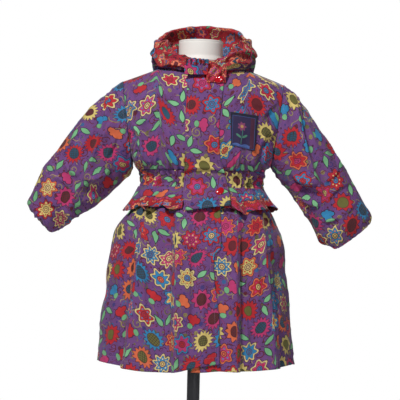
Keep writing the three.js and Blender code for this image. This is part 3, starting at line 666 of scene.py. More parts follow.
def cells(x, y, pitch, seed, wander):
    """Staggered cells: the reach from a motif's middle, the turn round it, and three chances."""
    row = (y / pitch).floor()
    across = x / pitch + row * 0.5 + seed * 0.37
    chance = new_node(x.tree, "TexWhiteNoise", {"Vector": join(across.floor(), row, seed)})
    split = new_node(x.tree, "SeparateColor", {0: Wire(x.tree, chance.outputs["Color"])})
    a, b, c = (Wire(x.tree, split.outputs[k]) for k in range(3))
    d = Wire(x.tree, chance.outputs["Value"])
    px = (across.fraction() - 0.5) * pitch - (a - 0.5) * wander
    py = ((y / pitch).fraction() - 0.5) * pitch - (b - 0.5) * wander
    turn = py.bearing(px) + c * TURN
    return (px * px + py * py).root(), turn, (b * 7.13 + c).fraction(), (a * 5.31 + d).fraction(), d


def upright(far, turn):
    """Across and up in a motif's own frame."""
    return far * turn.cos(), far * turn.sin()


RED, ORANGE, YELLOW, PINK = (186, 28, 40), (214, 102, 62), (212, 190, 112), (188, 48, 108)
CREAM, BLUE, TEAL, MAROON = (216, 194, 132), (42, 128, 178), (30, 78, 104), (100, 20, 34)
MINT, PALE_MINT, LEAF, OLIVE = (114, 176, 126), (126, 190, 138), (84, 156, 106), (104, 100, 44)
CORAL, PURPLE, DARK, NIGHT = (226, 122, 90), (110, 66, 128), (66, 20, 56), (60, 50, 120)
OUTLINE, RING = (58, 18, 50), (96, 22, 52)
BELL_LOBES = (
    (0, 0.02, 0.42, 0.62),
    (-0.5, 0.42, 0.4, 0.36),
    (0.5, 0.38, 0.38, 0.4),
    (0.02, 0.6, 0.3, 0.34),
)
CALYX = (0, -0.55, 0.42, 0.32)
HATCH = 0.66
WEAVE = 0.7


def daisy(under, cell, here, size, petals, hearts):
    """A flower of pointed petals round a large heart with crossed lines, where here is 1."""
    far, turn, first, second, kind = cell
    count = (first * 3.99).floor() * 2 + 9
    tooth = ((turn * count / TURN).fraction() - 0.5).size() * 2
    wobble = (turn * 3 + second * 9).sin() * 0.05 + 1
    petal = far - (tooth * (-0.34) + 1.04) * wobble * size
    heart = far - ((turn * 2 + kind * 9).sin() * (0.05 * size) + (second * 0.16 + 0.42) * size)
    across, along = ((place * HATCH).sin().size().below(0.3) for place in upright(far, turn))
    return layers(
        under,
        here,
        (OUTLINE, petal.below(1.9)),
        (colour_from(second, petals), petal.below(0.0)),
        ((62, 18, 34), heart.below(0.9)),
        (colour_from((first * 3.7 + second).fraction(), hearts), heart.below(0.0)),
        ((56, 40, 40), heart.below(0.0) * across.most(along) * kind.above(0.3)),
    )


def star(under, cell, here, size, petals, borders):
    """A flower of round or pointed lobes with a wide border, dots in its lobes and a ringed heart."""
    far, turn, first, second, kind = cell
    lobe = (turn * ((second * 2.99).floor() + 6)).cos()
    rim = far - (lobe * 0.15 + (turn * 2 + first * 9).sin() * 0.03 + 0.85) * size
    dots = (lobe - 0.55).above(0.0) * (far - size * 0.5).size().below(size * 0.07)
    return layers(
        under,
        here,
        (OUTLINE, rim.below(1.6)),
        (colour_from((first * 2.3 + kind).fraction(), borders), rim.below(0.0)),
        ((84, 22, 52), rim.below(-0.17 * size)),
        (colour_from(first, petals), rim.below(-0.22 * size)),
        (colour_from(kind, borders[1:] + petals), dots),
        (RING, (far - size * 0.34).below(0.0)),
        (colour_from((second * 3.1).fraction(), petals[2:] + borders), (far - size * 0.27).below(0.0)),
        ((110, 34, 60), (far - size * 0.15).size().below(0.8)),
    )


def leaves(under, cell, here, length, greens):
    """Two leaves on a short bent stalk, with a dark outline."""
    far, turn, first, second, _ = cell
    px, py = upright(far, turn)
    spread = second * 0.25 + 0.62
    side = px.size()
    low = py + length * 0.62
    rise = side * spread.sin() + low * spread.cos()
    aside = (side * spread.cos() - low * spread.sin()).size()
    along = (rise - length * 0.82) / (length * 0.6)
    width = (along * along * (-1) + 1) * ((along * (-0.35) + 1) * (0.235 * length))
    edge = aside.below(width + 1.5) * along.size().below(1.14)
    stalk = (side - low * 0.1).size().below(0.6) * (low + length * 0.2).size().below(length * 0.32)
    green = colour_from(first, greens)
    return layers(under, here, ((40, 44, 56), stalk.most(edge)), (green, aside.below(width - 0.3)))


def blossoms(under, cell, here, size, petals, green):
    """A small bell-shaped blossom of three lobes with a green calyx."""
    far, turn, first, _, _ = cell
    px, py = upright(far, turn)

    def lobe(x0, y0, wide, high, more=0.0):
        a, b = (px - x0 * size) / (wide * size + more), (py - y0 * size) / (high * size + more)
        return (a * a + b * b).below(1.0)

    def bell(more):
        a, b, c, d = (lobe(*place, more) for place in BELL_LOBES)
        return a.most(b).most(c).most(d)

    return layers(
        under,
        here,
        (OUTLINE, bell(1.6)),
        (colour_from(first, petals), bell(0.0)),
        ((60, 24, 56), lobe(*CALYX, 0.8)),
        (green, lobe(*CALYX)),
    )


def sprinkles(under, x, y, pitch, seed, size, colours):
    """Curls, rings and dots in thin line."""
    far, turn, first, _, kind = cells(x, y, pitch, seed, 0.35 * pitch)
    curl = (turn / TURN - far / (size * 0.8)).fraction() - 0.5
    arm = curl.size().below(0.12) * far.below(size) * kind.above(0.62)
    hoop = (far - size * 0.34).size().below(size * 0.09) * kind.below(0.34)
    dot = far.below(size * 0.2) * kind.below(0.62)
    colour = lay(under, (74, 36, 92), far.below(size * 0.26) * kind.below(0.34))
    return lay(colour, colour_from(first, colours), arm.most(hoop).most(dot))


def worms(under, x, y, pitch, seed, length, colours):
    """Short wavy lines."""
    far, turn, first, _, kind = cells(x, y, pitch, seed, 0.3 * pitch)
    px, py = upright(far, turn)
    bend = (px * (5.2 / length)).sin() * (length * 0.16)
    line = (py - bend).size().below(0.85) * px.size().below(length * 0.5) * kind.above(0.35)
    return lay(under, colour_from(first, colours), line)


def new_material(name, roughness, **values):
    material = bpy.data.materials.new(name)
    material.use_nodes = True
    shader = material.node_tree.nodes["Principled BSDF"]
    shader.inputs["Roughness"].default_value = roughness
    for socket, value in values.items():
        shader.inputs[socket.replace("_", " ")].default_value = value
    return material, material.node_tree, shader


def add_bump(shader, height, strength, distance):
    bump = output(height.tree, "Bump", {"Strength": strength, "Distance": distance, "Height": height})
    connect(height.tree, shader.inputs["Normal"], bump)


def threads(x, y, pitch):
    return (x * (TURN / pitch)).sin() * (y * (TURN / pitch)).sin()


def cotton(name, roughness, sheen, paint, wear, patch, relief, pitch=WEAVE):
    """Cloth in the colours that paint gives for a place on it as it was cut.

    The dye is uneven by the share wear over patches of that many millimetres, and relief is the
    strength of the weave and of small slack ripples."""
    material, tree, shader = new_material(name, roughness, Sheen_Weight=sheen)
    split = new_node(tree, "SeparateXYZ", {0: output(tree, "UVMap", {}, uv_map="cloth")})
    colour, x, y = paint(*(Wire(tree, split.outputs[k]) * (1 / MM) for k in range(2)))
    shade = cloud(4.0, x / patch, y / patch, 1.0) * (2 * wear) + (1 - wear)
    dyed = output(tree, "HueSaturation", {"Value": shade, "Color": colour})
    connect(tree, shader.inputs["Base Color"], dyed)
    slack, fine = cloud(3.0, x / 9.0, y / 13.0, 0.0), cloud(2.0, x / 3.2, y / 3.8, 4.0)
    add_bump(shader, threads(x, y, pitch) * 0.06 + slack * 1.5 + fine * 0.35, relief, MM)
    return material


def share_out(cell, *shares):
    """A mask for each kind of motif, from the share at which it begins to the next one's."""
    pick = ((cell[2] + cell[3]) * 6.7).fraction()
    masks = [pick.below(shares[0])]
    masks += [pick.above(a) * pick.below(b) for a, b in zip(shares, shares[1:])]
    return [*masks, pick.above(shares[-1])]


def paint_print(x, y):
    """Flowers, leaves and small lines on purple, in rows that are bent a little."""
    petals = [RED, YELLOW, ORANGE, YELLOW, PINK, RED, BLUE]
    hearts = [MAROON, TEAL, OLIVE, MAROON, OLIVE, TEAL]
    borders = [CREAM, BLUE, RED, CREAM, ORANGE]
    curls = [OLIVE, MAROON, (46, 96, 150), (146, 132, 74), MAROON, NIGHT]
    lines = [(170, 144, 92), MAROON, (150, 60, 110), (150, 140, 80)]
    speck = ((x * 1.7 + (y * 0.9).sin() * 2).sin() * (y * 1.9).sin()).above(0.8)
    x, y = x + (y / 70.0).sin() * 7.0, y + (x / 43.0).sin() * 9.0
    colour = lay(PURPLE, (84, 42, 94), speck)
    colour = sprinkles(colour, x + 6.0, y, 13.0, 17.0, 5.2, [DARK, MAROON, OLIVE, DARK, NIGHT])
    colour = sprinkles(colour, x, y, 23.0, 3.0, 10.5, curls)
    colour = worms(colour, x + 9.0, y + 5.0, 27.0, 5.0, 20.0, lines)
    colour = worms(colour, y + 3.0, x + 11.0, 24.0, 9.0, 17.0, [MAROON, DARK, (132, 104, 74), MAROON])
    cell = cells(x, y, 45.0, 23.0, 5.0)
    leafy, bloom, sunny, starry = share_out(cell, 0.24, 0.45, 0.73)
    colour = leaves(colour, cell, leafy, 22.5, [MINT, PALE_MINT])
    colour = blossoms(colour, cell, bloom, 16.5, [RED, ORANGE, BLUE, PINK, RED], MINT)
    colour = daisy(colour, cell, sunny, 21.5, petals, hearts)
    colour = star(colour, cell, starry, 22.0, [RED, PINK, YELLOW, PINK, BLUE], borders)
    return colour, x, y


def paint_red(x, y):
    """The smaller flowers of the red cloth."""
    petals = [CORAL, RED, PINK, ORANGE, BLUE]
    colour = lay((172, 18, 34), (132, 8, 32), ((x * 1.5).sin() * (y * 1.3).sin()).above(0.6))
    colour = sprinkles(colour, x, y, 14.0, 31.0, 5.5, [CORAL, PINK, MAROON, ORANGE, (90, 20, 60)])
    cell = cells(x, y, 30.0, 41.0, 5.0)
    leafy, sunny, starry = share_out(cell, 0.28, 0.6)
    colour = leaves(colour, cell, leafy, 12.0, [MINT, LEAF])
    colour = daisy(colour, cell, sunny, 13.0, petals, [MAROON, TEAL, RED])
    return star(colour, cell, starry, 13.0, petals, [CORAL, BLUE, CREAM, PINK]), x, y


def plain(colour):
    """One colour, darker where threads of one direction are on top."""

    def paint(x, y):
        darker = tuple(int(0.86 * c) for c in colour)
        return lay(colour, darker, threads(x, y, WEAVE).above(0.0)), x, y

    return paint


def paint_patch(x, y):
    """Dark blue with a pale inner line, a plum stripe, and a sprig with one round flower."""
    inside = x.size().below(25.5) * (y - 40.0).size().below(34.0)
    field = x.size().below(24.6) * (y - 40.0).size().below(33.1)
    px, py = x + 4.0, y - 28.0
    far, turn = (px * px + py * py).root(), py.bearing(px)
    stem = (px + (y * 0.12).sin() * 1.6).size().below(0.7) * (y - 50.0).size().below(16.0)
    leaf_x, leaf_y = px.size() - 7.0, y - 52.0 + px.size() * 0.5
    ground = (y - 66.0 + (x * 0.3).sin() * 1.2).above(0.0) * x.below(15.0)
    colour = lay(lay((17, 18, 46), (56, 80, 140), inside), (40, 26, 72), field)
    colour = lay(colour, (70, 20, 52), field * x.above(15.0))
    colour = lay(colour, (66, 126, 110), stem)
    colour = lay(colour, (72, 132, 108), (leaf_x * leaf_x * 0.06 + leaf_y * leaf_y * 0.28).below(2.0))
    colour = lay(colour, (128, 54, 98), far.below((turn * 7).cos() * 1.6 + 8.4))
    colour = lay(colour, (182, 140, 84), far.below(3.4))
    return lay(colour, (70, 96, 160), ground * field), x, y


def object_noise(tree, scale, detail):
    """Noise over the object's own places, for what isn't cloth."""
    place = Wire(tree, tree.nodes.new("ShaderNodeTexCoord").outputs["Object"])
    return output(tree, "TexNoise", {"Scale": scale, "Detail": detail, "Vector": place})


def hard_material(name, colour, worn, roughness, grain, depth, **values):
    """A moulded or painted surface, with uneven gloss, a faint stain and fine grain."""
    material, tree, shader = new_material(name, roughness, **values)
    stain = object_noise(tree, 9, 4)
    connect(tree, shader.inputs["Base Color"], lay(colour, worn, (stain - 0.45) * 2.2))
    connect(tree, shader.inputs["Roughness"], stain * 0.14 + (roughness - 0.07))
    add_bump(shader, object_noise(tree, grain, 3), 0.5, depth * MM)
    return material


# The inner faces are the cloth's reverse, plain and darker than the printed grounds. The darkening is
# painted shade for the inside of the coat.
reverse_in_painted_shade = cotton("cloth_reverse_in_painted_shade", 0.85, 0.1, plain((72, 44, 98)), 0.12, 50, 0.5)
red_reverse_in_painted_shade = cotton("red_reverse_in_painted_shade", 0.85, 0.1, plain((112, 20, 34)), 0.12, 50, 0.5)
COTTONS = {
    "print": (cotton("printed_cotton", 0.82, 0.12, paint_print, 0.26, 26, 0.55), reverse_in_painted_shade),
    "red_print": (cotton("red_cotton", 0.8, 0.12, paint_red, 0.3, 22, 0.55), red_reverse_in_painted_shade),
    "patch": (cotton("patch_cloth", 0.7, 0.1, paint_patch, 0.12, 18, 0.6, pitch=1.0), reverse_in_painted_shade),
}


# The bodice


def ridge_at(x):
    return RIDGE_TOP - RIDGE_SLOPE * abs(x - MIDDLE)


def side_at(height, x):
    rise = (height - ARMPIT_HEIGHT) / (ridge_at(MIDDLE + SHOULDER_OUT) - ARMPIT_HEIGHT)
    side = np.where(x < MIDDLE, read(SIDES, height, "right"), read(SIDES, height, "left"))
    beside_arm = mix(ARMPIT_OUT, SHOULDER_OUT, rise) + side - ARMPIT_OUT
    return np.where(height > ARMPIT_HEIGHT, beside_arm, side)


def bodice_depth(x, height, face):
    full = read(BODICE, height, face)
    closing = np.clip((ARMHOLE_MIDDLE - height) / (ARMHOLE_MIDDLE - ARMPIT_HEIGHT), 0, 1)
    at_side = np.where(height > ARMPIT_HEIGHT, ARMHOLE_DEPTH * np.sqrt(1 - closing**2), 0)
    power = mix(1 / FULLNESS, 1, ease((height - ARMPIT_HEIGHT) / 70))
    share = np.maximum(0, 1 - (abs(x - MIDDLE) / side_at(height, x)) ** FULLNESS) ** power
    under = np.clip((ridge_at(x) - height) / RIDGE_ROUND, 0, 1)
    return (at_side + (full - at_side) * share) * np.sqrt(1 - (1 - under) ** 2)


def beside_flap(x, start, reach):
    """0 under the flap, and 1 from a little way beyond it."""
    return ease((abs(x - FLAP_MIDDLE) - start) / reach)


def waist_folds(x, height, face):
    near = 1 - ease((height - WAIST_TOP) / 95)
    clear = beside_flap(x, 52, 22) if face == "front" else 1
    edge = ease((side_at(height, x) - abs(x - MIDDLE)) / 16)
    return 3 * near * clear * edge * wave(x / 27 + 0.12 * np.sin(x / 31))


def neckline_height(x, face):
    low = NECK_FRONT if face == "front" else NECK_BACK
    share = np.clip(abs(x - MIDDLE) / NECK_OUT, 0, 1)
    return mix(low, ridge_at(MIDDLE + NECK_OUT), share**3)


def bodice_point(s, v, face):
    """s is -1 at the wearer's right side and 1 at the left."""
    top_x = MIDDLE + s * (SHOULDER_OUT - SEAM)
    top = np.where(abs(top_x - MIDDLE) < NECK_OUT, neckline_height(top_x, face), ridge_at(top_x))
    height = mix(top - SEAM, WAIST_TOP, v**1.3)
    x = MIDDLE + s * (side_at(height, top_x) - SEAM)
    out = waist_folds(x, height, face) + SEAM
    sign = -1 if face == "front" else 1
    return point_of(x, sign * (bodice_depth(x, height, face) + out), height)


def bodice_relief(face, rows, seed):
    front = face == "front"

    def relief(u, v, place):
        x, z = place[..., 0], place[..., 2]
        side = side_at(z, x) - abs(x - MIDDLE)
        shoulder = ridge_at(x) - z
        neck = np.where(abs(x - MIDDLE) < NECK_OUT, neckline_height(x, face) - z, 60)
        inside = ease(side / 14) * ease(shoulder / 16) * ease(neck / 10)
        clear = beside_flap(x, 46, 14) if front else 1
        total = inside * (2.2 * creases(rows, x, z) + crumple(x, z, seed, 1.25) * mix(0.35, 1, clear))
        total += close_gathers(x) * hill(z - WAIST_TOP, 30) * clear
        armhole = groove(side - 1, 0.5) + puckers(z, side, 10, 13, 0.6) * ease(side / 2)
        total += armhole * ease((905 - z) / 70)
        total += groove(neck - 1, 0.6) + puckers(x, neck, 8, 10, 0.5) + groove(shoulder - 1, 0.5)
        under_patch = ease((x - 52) / 8) * ease((140 - x) / 8)
        under_patch = under_patch * ease((z - 800) / 10) * ease((916 - z) / 10)
        return total * (1 - under_patch) if front else total

    return relief


def inside_bodice(face):
    sign = -1 if face == "front" else 1

    def keep(places):
        x, y, z = places[..., 0], places[..., 1], places[..., 2]
        reach = side_at(z, x) - SEAM
        x = np.clip(x, MIDDLE - reach, MIDDLE + reach)
        return point_of(x, sign * np.maximum(SEAM, sign * y), np.maximum(WAIST_TOP, z))

    return keep


def make_bodice():
    edge = (FRONT_EDGE - MIDDLE) / SHOULDER_OUT
    panels = (
        ("front_right", -1, edge, "front", BODICE_CREASES, 11),
        ("front_left", edge + 0.04, 1, "front", BODICE_CREASES, 23),
        ("back", 1, -1, "back", BACK_CREASES, 37),
    )
    for name, start, end, face, rows, seed in panels:
        point = lambda u, v: bodice_point(mix(start, end, u), v, face)
        cloth("bodice_" + name, point, bodice_relief(face, rows, seed), keep=inside_bodice(face))


# The sleeves


def armhole_point(side, angle):
    height = mix(ridge_at(MIDDLE + SHOULDER_OUT), ARMPIT_HEIGHT, (1 - np.cos(angle)) / 2)
    reach = side_at(height, MIDDLE + side)
    around = side * np.sin(angle)
    x = MIDDLE + side * (reach - 0.5)
    depth = np.where(around < 0, bodice_depth(x, height, "front"), bodice_depth(x, height, "back"))
    return point_of(MIDDLE + side * (reach + SEAM), np.sign(around) * depth, height)


def sleeve_rings(rows, side, angle):
    share = (1 - np.cos(angle)) / 2
    rings = [armhole_point(side, angle)]
    for top_x, top_z, end_x, end_z, depth, forward in zip(*rows.values()):
        y = side * np.sin(angle) * depth - forward
        rings.append(point_of(mix(top_x, end_x, share), y, mix(top_z, end_z, share)))
    return rings


def sleeve_fold(u, v):
    out = np.zeros(np.shape(u))
    for along, around, reach, width, height in zip(*SLEEVE_FOLDS.values()):
        turn = abs(u - around)
        out += height * hill(v - along, reach) * hill(np.minimum(turn, 1 - turn), width)
    return out + 1.6 * ease((v - 0.86) / 0.14) * wave(8 * u)


def make_sleeve(name, side, rows, seed):
    length = 330

    def point(u, v):
        around = u + 0.5
        place = through(sleeve_rings(rows, side, TURN * around), v)
        away = (place - through(sleeve_rings(rows, side, TURN * u), v)) / 2
        away /= np.linalg.norm(away, axis=-1, keepdims=True)
        return place + away * (sleeve_fold(around % 1, v) * ease(v / 0.12))[..., None]

    def relief(u, v, place):
        x, z, front = abs(place[..., 0] - MIDDLE) - 3, place[..., 2], place[..., 1] < 0
        start, end = v * length, (1 - v) * length
        lines = creases(SLEEVE_CREASES, x, z) * np.where(front, 1, 0.8)
        elastic = 2.0 * np.sin(TURN * 12 * u + 1.8 * wave(4 * u)) * hill(end, 40) * ease(end / 9 + 0.3)
        total = 2.3 * lines + crumple(u * 420, v * length, seed, 1.35)
        gather = 0.8 * wave(34 * u) * hill(start, 16)
        total = ease(start / 16) * ease(end / 12) * total + elastic + gather
        return total + groove(start - 1.5, 0.35) + groove(end - 9, 1.0, 2.5)

    def keep(places):
        x, z = places[..., 0], places[..., 2]
        reach = side_at(np.maximum(ARMPIT_HEIGHT, z), MIDDLE + side) + SEAM
        held = MIDDLE + side * np.maximum(reach, side * (x - MIDDLE))
        return point_of(np.where(z > ARMPIT_HEIGHT - 6, held, x), places[..., 1], z)

    grain = np.array((0.70 * side, 0, -0.72))
    cloth(name, point, relief, closed=True, keep=keep, grain=grain / np.linalg.norm(grain))


# The shirred waist, between side seams at these angles

FRONT_START, FRONT_END = (side * (math.pi / 2 - SEAM / 140) for side in (-1, 1))
BACK_START, BACK_END = math.pi / 2 + SEAM / 140, 1.5 * math.pi - SEAM / 140


def waist_point(angle, height):
    x, front = on_body(WAIST, height, angle)[..., 0], np.cos(angle) > 0
    clear = np.where(front, beside_flap(x, 50, 12), 1)
    share = (height - WAIST_END) / (WAIST_TOP - WAIST_END)
    swell = 0.55 + 0.45 * np.cos(TURN * share)
    turn = 3 * GATHERS * angle + 2.4 * np.sin(5 * angle) + 1.3 * np.sin(13 * angle)
    fine = 2.0 * np.sin(turn) * (0.45 + 0.55 * abs(noise(angle * 9, share * 2.5, 3)))
    puffs = 2.0 * noise(angle * 15 + 3, share * 1.2, 8) + 1.1 * noise(angle * 31, share * 1.6, 9)
    rows = -1.6 * np.cos(TURN * 1.5 * (share + 0.02 * np.sin(9 * angle))) ** 8
    ends = ease(share / 0.14) * ease((1 - share) / 0.14)
    shirring = clear * ends * (1.9 * (fine + puffs) + rows)
    out = -1.4 + 1.2 * clear * swell * np.sin(GATHERS * angle) + shirring
    out += ends * deep_fold(angle) * 5
    above = np.where(front, waist_folds(x, WAIST_TOP, "front"), waist_folds(x, WAIST_TOP, "back"))
    above += close_gathers(x) * clear
    return on_body(WAIST, height, angle, mix(out, above - 0.5, ease((share - 0.72) / 0.28)))


def make_waist():
    parts = (
        ("front_right", lambda z: FRONT_START, lambda z: angle_across(WAIST, z, FRONT_EDGE)),
        ("front_left", lambda z: angle_across(WAIST, z, FRONT_EDGE + 7), lambda z: FRONT_END),
        ("back", lambda z: BACK_START, lambda z: BACK_END),
    )
    keep = lambda p: point_of(p[..., 0], p[..., 1], np.minimum(p[..., 2], WAIST_TOP - SEAM))
    for name, start, end in parts:

        def point(u, v):
            height = mix(WAIST_TOP - SEAM, WAIST_END + SEAM, v)
            return waist_point(mix(start(height), end(height), u), height)

        cloth("waist_" + name, point, keep=keep)


# The skirt

UNDER_HEM = 350


def skirt_fall(height):
    """0 at the waist and 1 at the hem."""
    return np.clip((WAIST_END - height) / (WAIST_END - HEM_LOW), 0, 1)


def from_side(angle):
    """The angle from the nearer side seam."""
    return math.pi / 2 - abs(angle - np.where(angle > math.pi / 2, math.pi, 0))


def pleats_at(x, height, angle):
    """How far a place is beyond each pleat's edge, the pleat's side and height, and if it is there."""
    for pleats, here in ((FRONT_PLEATS, np.cos(angle) > 0), (BACK_PLEATS, np.cos(angle) <= 0)):
        for top, hem, rise in zip(*pleats.values()):
            side = math.copysign(1, top)
            yield (x - MIDDLE - mix(top, hem, skirt_fall(height))) * side, side, rise, here


def pleat_shape(x):
    fall = 1.6 * hill(x, 6) - 0.6 * hill(x, 26)
    return np.where(x < 0, hill(x, 22), fall)


def skirt_folds(angle, height):
    fall = skirt_fall(height)
    out = 3.2 * fall * np.sin(13 * angle + 1.2 * np.sin(2 * angle))
    for beyond, _, rise, here in pleats_at(on_body(SKIRT, height, angle)[..., 0], height, angle):
        out += here * rise * ease(fall * 2.5) * pleat_shape(beyond)
    return out * ease(from_side(angle) / 0.16)


def pleat_edges(x, z, angle):
    total = np.zeros(np.shape(x))
    for beyond, _, _, here in pleats_at(x, z, angle):
        lee = 1.4 * np.exp(-abs(beyond) / 1.8) - 0.4 * np.exp(-abs(beyond) / 12)
        total += here * np.where(beyond < 0, np.exp(-abs(beyond) / 14), lee)
    return 5.4 * ease(3 * skirt_fall(z)) * total


def pleat_tuck(place):
    """The cloth that each pleat hides, by which the print is shifted beyond its edge."""
    z, behind = place[..., 2], place[..., 1] >= 0
    shift = np.zeros(z.shape)
    for beyond, side, _, here in pleats_at(place[..., 0], z, np.where(behind, math.pi, 0)):
        shift += here * 17 * side * np.where(behind, -1, 1) * ease((beyond + 1.5) / 3)
    return shift * (skirt_fall(z) > 0)


def make_skirt_panel(name, start, end, hem, seed, lift=lambda x: 0.0):
    """start and end give an edge's angle at a height, and hem its height at a place across."""

    def angle_height(u, v):
        guess = mix(start(np.full(u.shape, 400.0)), end(np.full(u.shape, 400.0)), u)
        height = mix(WAIST_END - SEAM, hem(on_body(SKIRT, 345.0, guess)[..., 0]), v)
        return mix(start(height), end(height), u), height

    def point(u, v):
        angle, height = angle_height(u, v)
        x = on_body(SKIRT, height, angle)[..., 0]
        lumps = 4 * noise(height / 46, 2 * np.sin(angle), 21) * ease((WAIST_END - 30 - height) / 40)
        hip = (lumps + 7 * hill(height - 636, 42)) * np.sin(angle) ** 2
        return on_body(SKIRT, height, angle, skirt_folds(angle, height) + lift(x) + hip)

    def relief(u, v, place):
        angle, _ = angle_height(u, v)
        x, z = place[..., 0], place[..., 2]
        drop = WAIST_END - z
        from_hem = (1 - v) * 370
        side = 150 * from_side(angle)
        gathers = 2.0 * np.sin(46 * angle + 3 * np.sin(4 * angle)) * hill(drop, 60) * ease(drop / 6)
        lines = 2.2 * creases(SKIRT_CREASES, np.where(np.cos(angle) > 0, x, -x), z)
        total = lines + crumple(angle * 170, z, seed, 1.1) + pleat_edges(x, z, angle)
        total = ease(side / 16) * ease((drop - 22) / 30) * total + gathers + groove(side - 1, 0.6)
        total += groove(from_hem - 16, 0.7, 2.0)
        return total + puckers(angle * 200, from_hem - 12, 11, 16, 0.55)

    cloth("skirt_" + name, point, relief, tuck=pleat_tuck)


def make_skirt():
    make_skirt_panel(
        "front_right",
        start=lambda z: FRONT_START,
        end=lambda z: angle_across(SKIRT, z, read(OPENING, z, "lap")),
        hem=lambda x: HEM_SIDE - 12 * ease((x + 215) / 120) + 19 * ease((x + 62) / 110),
        lift=lambda x: LAP_LIFT * ease((x + 48) / 38),
        seed=51,
    )
    make_skirt_panel(
        "front_left",
        start=lambda z: angle_across(SKIRT, z, read(OPENING, z, "under")),
        end=lambda z: FRONT_END,
        hem=lambda x: UNDER_HEM + 6 * ease((x - 120) / 90) - 3 * ease((60 - x) / 60),
        seed=63,
    )
    make_skirt_panel("back", lambda z: BACK_START, lambda z: BACK_END, lambda x: HEM_SIDE - 6, 77)


# The frill and its red band


def frill_point(angle, height):
    fall = np.clip((FRILL_TOP - height) / (FRILL_TOP - FRILL_END), 0, 1)
    turn = FRILL_WAVES * angle + 0.9 * np.sin(3 * angle) + 0.5
    flare = np.sin(turn) + 0.18 * np.sin(2 * turn + 1)
    small = 0.8 * np.sin(3.1 * turn + 2) * (0.4 + fall) + 13 * deep_fold(angle) * (0.3 + 0.7 * fall)
    crest = 7 * fall**1.5 * np.maximum(flare, 0) ** 2 * np.cos(angle) ** 2
    place = on_body(FRILL, height, angle, (0.5 + 8 * fall**1.5) * flare + crest + small)
    uneven = 3 * np.sin(0.6 * turn + 1) + 3.5 * np.sin(turn + 2) + 5.5 * np.sin(5 * angle + 1)
    bundle = 10 * hill(angle + 0.66, 0.16) - 9 * hill(angle + 1.25, 0.25)
    place[..., 2] += fall * (uneven + 8 * deep_fold(angle) + bundle)
    return place


def make_frill():
    parts = (
        ("front_right", FRONT_START, angle_across(FRILL, 700.0, -34)),
        ("front_left", angle_across(FRILL, 700.0, 55), FRONT_END),
        ("back", BACK_START, BACK_END),
    )
    strips = (("frill_", FRILL_TOP, BAND_TOP + SEAM), ("frill_band_", BAND_TOP, FRILL_END))
    for end, start, stop in parts:
        for name, top, low in strips:
            cloth(name + end, lambda u, v: frill_point(mix(start, stop, u), mix(top, low, v)))


# The flap over the front opening


def flap_place(x, height):
    free = 1 - ease((height - FLAP_FREE) / 40)
    hanging = read(FLAP, height, "forward") - 0.0009 * (x - 20) ** 2
    lying = bodice_depth(x, height, "front") + CLOTH + FLAP_CLEAR
    depth = np.maximum(mix(lying, hanging, free), np.where(height > WAIST_TOP, lying, 0))
    return point_of(x, -depth, height)


def make_flap():
    def point(u, v):
        height = mix(NECK_FRONT - 2, mix(686, 699, u), v)
        return flap_place(mix(read(FLAP, height, "right"), read(FLAP, height, "left"), u), height)

    def relief(u, v, place):
        x, z = place[..., 0], place[..., 2]
        edge = np.minimum(x - read(FLAP, z, "right"), read(FLAP, z, "left") - x)
        from_hem = (1 - v) * 290
        bowed = z - 778 + 0.004 * (x - 12) ** 2
        fold = 3.4 * hill(bowed, 5) - 2.6 * hill(bowed + 9, 5)
        total = fold + 0.7 * crumple(x, z, 91) * ease(edge / 8)
        total += groove(edge - 5, 0.45, 1.6) + groove(from_hem - 5, 0.45, 1.6)
        total += puckers(z, edge - 4, 9, 7, 0.3)
        return total + 0.8 * np.sin(z / 21) * ease(u) * ease((z - 790) / 60)

    cloth("front_flap", point, relief)


# The hood

RISES = {"lip": 1, "crest": 1, "rim": 1, "bulge": 0.6, "in": 0.6}


def neckline_place(turn):
    x = MIDDLE + (NECK_OUT - 1) * np.sin(turn)
    front = np.cos(turn) > 0
    height = np.where(front, neckline_height(x, "front"), neckline_height(x, "back")) + SEAM
    depth = np.where(front, -bodice_depth(x, height, "front"), bodice_depth(x, height, "back"))
    return point_of(x, depth, height)


def hood_rise(degrees, turn):
    """The hood's edge is highest behind, falls away beside that, and stands up beside the neck."""
    right = np.where(turn > math.pi, 1, 0)
    rise = 4 * hill(degrees - 180, 15) - 9 * hill(degrees - 137, 13)
    return rise + (10 - 6 * right) * hill(degrees - 40, 15) - 8 * right * hill(degrees - 62, 18)


def hood_point(u, share, names, rows):
    """On the curve through the named columns of rows, outward and up from the neckline."""
    turn = np.radians(mix(HOOD_START, HOOD_END, u))
    seam = neckline_place(turn)
    away = (seam - (MIDDLE, 0, 0)) * (1, 1, 0)
    away /= np.linalg.norm(away, axis=-1, keepdims=True)
    degrees = np.degrees(abs(math.pi - abs(math.pi - turn)))
    places = []
    for name in names.split():
        if name == "seam":
            out, up = np.zeros(turn.shape), 0.5
        else:
            out, up = read(rows, degrees, name + "Out"), read(rows, degrees, name + "Up")
            up = up + RISES.get(name, 0.2) * hood_rise(degrees, turn)
        places.append(point_of(out, 0, up))
    place = through(places, share)
    return seam + away * place[..., :1] + place * (0, 0, 1)


def hood_relief(u, v, place):
    gather = 1.8 * np.sin(TURN * 38 * u + 2 * wave(3 * u)) * hill(1 - v, 0.3)
    return ease(np.minimum(u, 1 - u) * 600 / 14) * (crumple(u * 620, v * 150, 101, 1.6) + gather)


